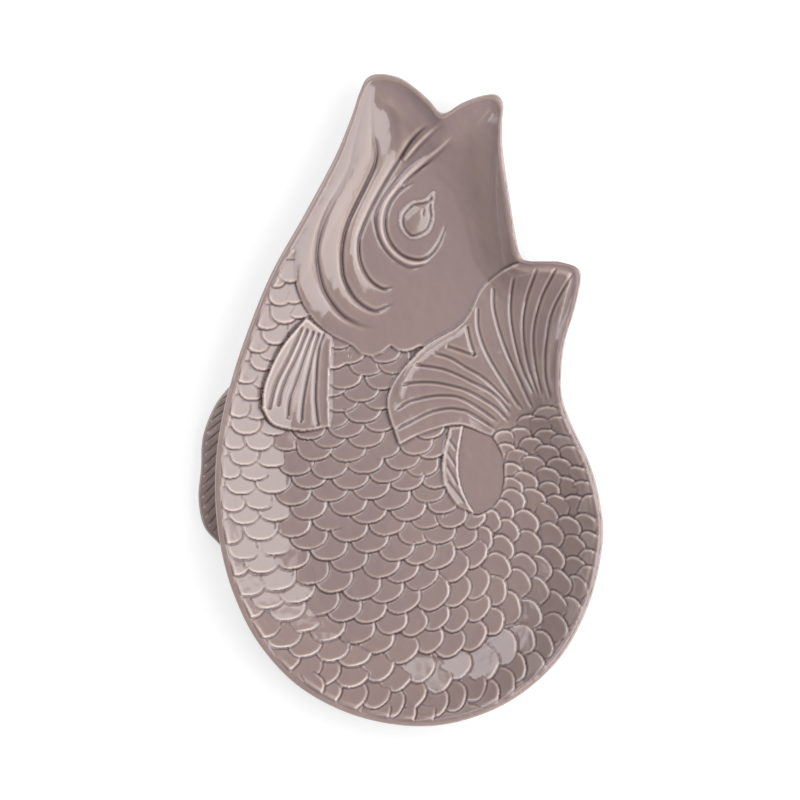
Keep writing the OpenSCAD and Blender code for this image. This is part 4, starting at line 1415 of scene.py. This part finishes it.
class Board:
    """The node tree of one material, or of the world."""

    def __init__(self, owner: bpy.types.Material | bpy.types.World) -> None:
        """Starts on an empty tree.

        Args:
            owner: The material or the world that it belongs to.
        """
        owner.use_nodes = True
        self.owner, self.tree = owner, owner.node_tree
        self.tree.nodes.clear()

    def add(
        self, kind: str, settings: dict | None = None, inputs: dict | None = None, output: int | str = 0
    ) -> Wire:
        """Adds a node of any type.

        Args:
            kind: The node's type.
            settings: Its settings, such as operation, or stops for a colour ramp.
            inputs: Values or wires by the socket's name or number.
            output: Which of its sockets to return.

        Returns:
            A wire from that socket.
        """
        node = self.tree.nodes.new(kind)
        for key, value in (settings or {}).items():
            if key == "stops":
                while len(node.color_ramp.elements) < len(value):
                    node.color_ramp.elements.new(0.5)
                for element, (position, colour) in zip(node.color_ramp.elements, value):
                    element.position = position
                    element.color = (*colour, 1)
            else:
                setattr(node, key, value)
        for key, value in (inputs or {}).items():
            if isinstance(value, Wire):
                self.tree.links.new(value.socket, node.inputs[key])
            else:
                node.inputs[key].default_value = value
        return Wire(self, node.outputs[output] if len(node.outputs) else None)

    def noise(self, scale: float, detail: float) -> Wire:
        """Adds a cloudy pattern on Object coordinates, about 0 to 1."""
        here = self.add("ShaderNodeTexCoord", output="Object")
        return self.add("ShaderNodeTexNoise", inputs={"Vector": here, "Scale": scale, "Detail": detail})

    def bump(self, height: Wire, strength: float, distance: float) -> Wire:
        """Adds a Bump node and returns its normal."""
        inputs = {"Strength": strength, "Distance": distance, "Height": height}
        return self.add("ShaderNodeBump", inputs=inputs, output="Normal")

    def seen(self) -> Wire:
        """Finds out whether the camera, a reflection or a clear thing looks.

        Returns:
            A wire that is above 0 where one of them does, else 0.
        """
        kinds = ("Camera", "Glossy", "Transmission")
        camera, glossy, clear = (self.add("ShaderNodeLightPath", output=f"Is {kind} Ray") for kind in kinds)
        return camera + glossy + clear


def linear(red: int, green: int, blue: int) -> Triple:
    """A colour as the amounts of light that the shader takes.

    Each part is (v + 0.055) / 1.055 to the power 2.4, or v / 12.92 where it is very dark.

    Args:
        red: How red it shows on a screen, 0 to 255.
        green: How green it shows.
        blue: How blue it shows.

    Returns:
        Three amounts of light, 0 to 1.
    """
    parts = np.array([red, green, blue]) / 255
    light = np.where(parts <= 0.04045, parts / 12.92, ((parts + 0.055) / 1.055) ** 2.4)
    return tuple(float(v) for v in light)


@dataclass(frozen=True)
class Glaze:
    """A glossy grey mauve glaze: dark where it pools, a darkening that also paints the shade in grooves, pale
    and pink where it breaks over an edge.

    Clouds, grains and waves are noises, each with its scale and its detail.
    """

    # The pooled colour also serves as painted shade in grooves and hollows.
    pooled_and_shaded: Triple = linear(92, 72, 70)
    cool: Triple = linear(161, 140, 139)
    warm: Triple = linear(171, 148, 141)
    broken: Triple = linear(231, 208, 201)
    stops: tuple[float, ...] = (0.03, 0.46, 0.56, 0.93)
    clouds: tuple[float, float] = (26.0, 3.0)
    grains: tuple[float, float] = (900.0, 2.0)
    waves: tuple[float, float] = (130.0, 1.0)
    cloudiness: float = 0.16
    graininess: float = 0.05
    roughness: float = 0.1
    patchiness: float = 0.08
    ior: float = 1.6
    coat: float = 0.7
    coat_roughness: float = 0.03
    waviness: float = 0.7
    wave_depth: float = 0.001

    def dress(self) -> bpy.types.Material:
        """Builds the material: a colour ramp over the pooling and the painted shade of grooves, with clouds,
        fine grain and a wavy skin.

        Returns:
            The new material.
        """
        board = Board(bpy.data.materials.new("mauve_glaze"))
        pool = board.add("ShaderNodeAttribute", {"attribute_name": "pool"}, output="Fac")
        cloud, grain = board.noise(*self.clouds), board.noise(*self.grains)
        # Low share: pooled glaze and painted shade in grooves; high share: thin pale glaze on edges.
        share = 0.5 - pool * 0.5 + (cloud - 0.5) * self.cloudiness + (grain - 0.5) * self.graininess
        colours = self.pooled_and_shaded, self.cool, self.warm, self.broken
        colour = board.add("ShaderNodeValToRGB", {"stops": tuple(zip(self.stops, colours))}, {"Fac": share})
        surface = board.add("ShaderNodeBsdfPrincipled", inputs={
            "Base Color": colour, "Roughness": self.roughness + self.patchiness * cloud, "IOR": self.ior,
            "Coat Weight": self.coat, "Coat Roughness": self.coat_roughness, "Coat IOR": self.ior,
            "Normal": board.bump(board.noise(*self.waves), self.waviness, self.wave_depth),
        })
        board.add("ShaderNodeOutputMaterial", inputs={"Surface": surface})
        return board.owner


@dataclass(frozen=True)
class Biscuit:
    """Bare fired stoneware, as on a foot wiped clean: matt, with fine specks."""

    clay: Triple = linear(212, 196, 176)
    speck: Triple = linear(150, 126, 104)
    flecks: tuple[float, float] = (1400.0, 2.0)
    speck_from: float = 0.66
    speck_strength: float = 0.7
    roughness: float = 0.82
    patchiness: float = 0.1
    grit: float = 0.3
    grit_depth: float = 0.0004

    def dress(self) -> bpy.types.Material:
        """Builds the material: clay, with specks where a fine noise is high.

        Returns:
            The new material.
        """
        board = Board(bpy.data.materials.new("bare_stoneware"))
        fleck = board.noise(*self.flecks)
        share = board.add("ShaderNodeMath", {"operation": "GREATER_THAN"}, {0: fleck, 1: self.speck_from})
        mixed = {0: share * self.speck_strength, 6: (*self.clay, 1), 7: (*self.speck, 1)}
        surface = board.add("ShaderNodeBsdfPrincipled", inputs={
            "Base Color": board.add("ShaderNodeMix", {"data_type": "RGBA"}, mixed, 2),
            "Roughness": self.roughness + self.patchiness * fleck,
            "Normal": board.bump(fleck, self.grit, self.grit_depth),
        })
        board.add("ShaderNodeOutputMaterial", inputs={"Surface": surface})
        return board.owner


# Studio

@dataclass(frozen=True)
class Lamp:
    """A square soft lamp that faces the platter, with its place and size in metres."""

    name: str
    place: Triple
    size: tuple[float, float]
    watts: float
    colour: Triple = (1.0, 1.0, 1.0)

    def hang(self) -> None:
        """Adds the lamp to the scene."""
        data = bpy.data.lights.new(self.name, "AREA")
        data.shape = "RECTANGLE"
        data.size, data.size_y = self.size
        data.energy = self.watts
        data.color = self.colour
        lamp = bpy.data.objects.new(self.name, data)
        lamp.location = self.place
        lamp.rotation_euler = Vector(self.place).to_track_quat("Z", "Y").to_euler()
        bpy.context.scene.collection.objects.link(lamp)


@dataclass
class Studio:
    """A pale floor, soft lamps, a dark flag overhead that only reflections see, and the camera above.

    Lengths are in metres. The lift is light that the floor shows only where it is seen, to make it white.
    """

    rim_height: float
    camera_height: float = 4.0
    camera_reach: float = 50.0
    sensor: float = 36.0
    floor_half: float = 6.0
    floor_colour: Triple = (0.6, 0.6, 0.6)
    floor_lift: float = 0.62
    flag_half: float = 20.0
    flag_height: float = 1.9
    flag_colour: Triple = (0.2, 0.19, 0.2)
    surround: tuple[float, float] = (0.33, 1.0)
    lamps: tuple[Lamp, ...] = (
        Lamp("softbox_right", (0.95, -0.1, 0.85), (1.6, 1.75), 18.5),
        Lamp("window_upper_left", (-0.6, 0.64, 1.0), (1.05, 0.85), 5.6, (0.93, 0.96, 1.0)),
    )

    def camera(self) -> None:
        """Puts the camera straight above, far enough off that near and far parts come out at one scale."""
        data = bpy.data.cameras.new("camera")
        frame_width = VIEW.picture_px * VIEW.width / VIEW.width_px * MM
        data.sensor_width = self.sensor
        data.lens = self.sensor * (self.camera_height - self.rim_height) / frame_width
        data.clip_end = self.camera_reach
        camera = bpy.data.objects.new("camera", data)
        camera.location = (0.0, 0.0, self.camera_height)
        bpy.context.scene.collection.objects.link(camera)
        bpy.context.scene.camera = camera

    def sheet(
        self, name: str, half: float, height: float, colour: Triple, lift: float = 0.0
    ) -> bpy.types.Object:
        """Adds a level square sheet of one matt colour.

        Args:
            name: The sheet's name.
            half: Half its width.
            height: Its height.
            colour: Its colour, as amounts of light.
            lift: Light added to it where it is seen.

        Returns:
            The sheet.
        """
        points = [[-half, -half, height], [half, -half, height], [half, half, height], [-half, half, height]]
        sheet = make_piece(name, np.array(points) / MM, [np.arange(4)[None, :]])
        board = Board(bpy.data.materials.new(name + "_paint"))
        surface = board.add("ShaderNodeBsdfDiffuse", inputs={"Color": (*colour, 1)})
        if lift:
            glow = board.add("ShaderNodeEmission", inputs={"Strength": board.seen() * lift})
            surface = board.add("ShaderNodeAddShader", inputs={0: surface, 1: glow})
        board.add("ShaderNodeOutputMaterial", inputs={"Surface": surface})
        sheet.data.materials.append(board.owner)
        return sheet

    def world(self) -> None:
        """A pale surround where it is seen, and a soft grey one for light on the object."""
        board = Board(bpy.data.worlds.new("surround"))
        grey, pale = self.surround
        inputs = {"Value": board.seen(), "To Min": grey, "To Max": pale}
        strength = board.add("ShaderNodeMapRange", {"clamp": True}, inputs)
        background = board.add("ShaderNodeBackground", inputs={"Strength": strength})
        board.add("ShaderNodeOutputWorld", inputs={"Surface": background})
        bpy.context.scene.world = board.owner

    def build(self) -> None:
        """Sets up the whole studio."""
        self.camera()
        self.world()
        self.sheet("floor", self.floor_half, 0.0, self.floor_colour, self.floor_lift)
        flag = self.sheet("flag", self.flag_half, self.flag_height, self.flag_colour)
        flag.visible_camera = flag.visible_diffuse = flag.visible_shadow = flag.visible_transmission = False
        for lamp in self.lamps:
            lamp.hang()
        bpy.context.scene.view_settings.view_transform = "Standard"


def main() -> None:
    """Builds the platter's pieces in the order in which they are made, and the studio round them."""
    logging.basicConfig(level=logging.INFO, format="%(name)s: %(message)s")
    glaze, biscuit = Glaze().dress(), Biscuit().dress()
    chart = Chart()
    dish = Dish(chart)
    log.info("dish mapped on %d by %d places", *chart.shape)
    Shell(dish).build(glaze, biscuit)
    relief, fins = Relief(chart, dish), Fins(chart)
    Scales(chart).lay(relief)
    fins.lay_pectoral(relief)
    Head(chart).lay(relief)
    fins.lay_belly(relief)
    fins.lay_tail(relief)
    relief.build(glaze)
    BackFin(dish).build(glaze)
    Studio(dish.rim_height * MM).build()


if __name__ == "__main__":
    main()
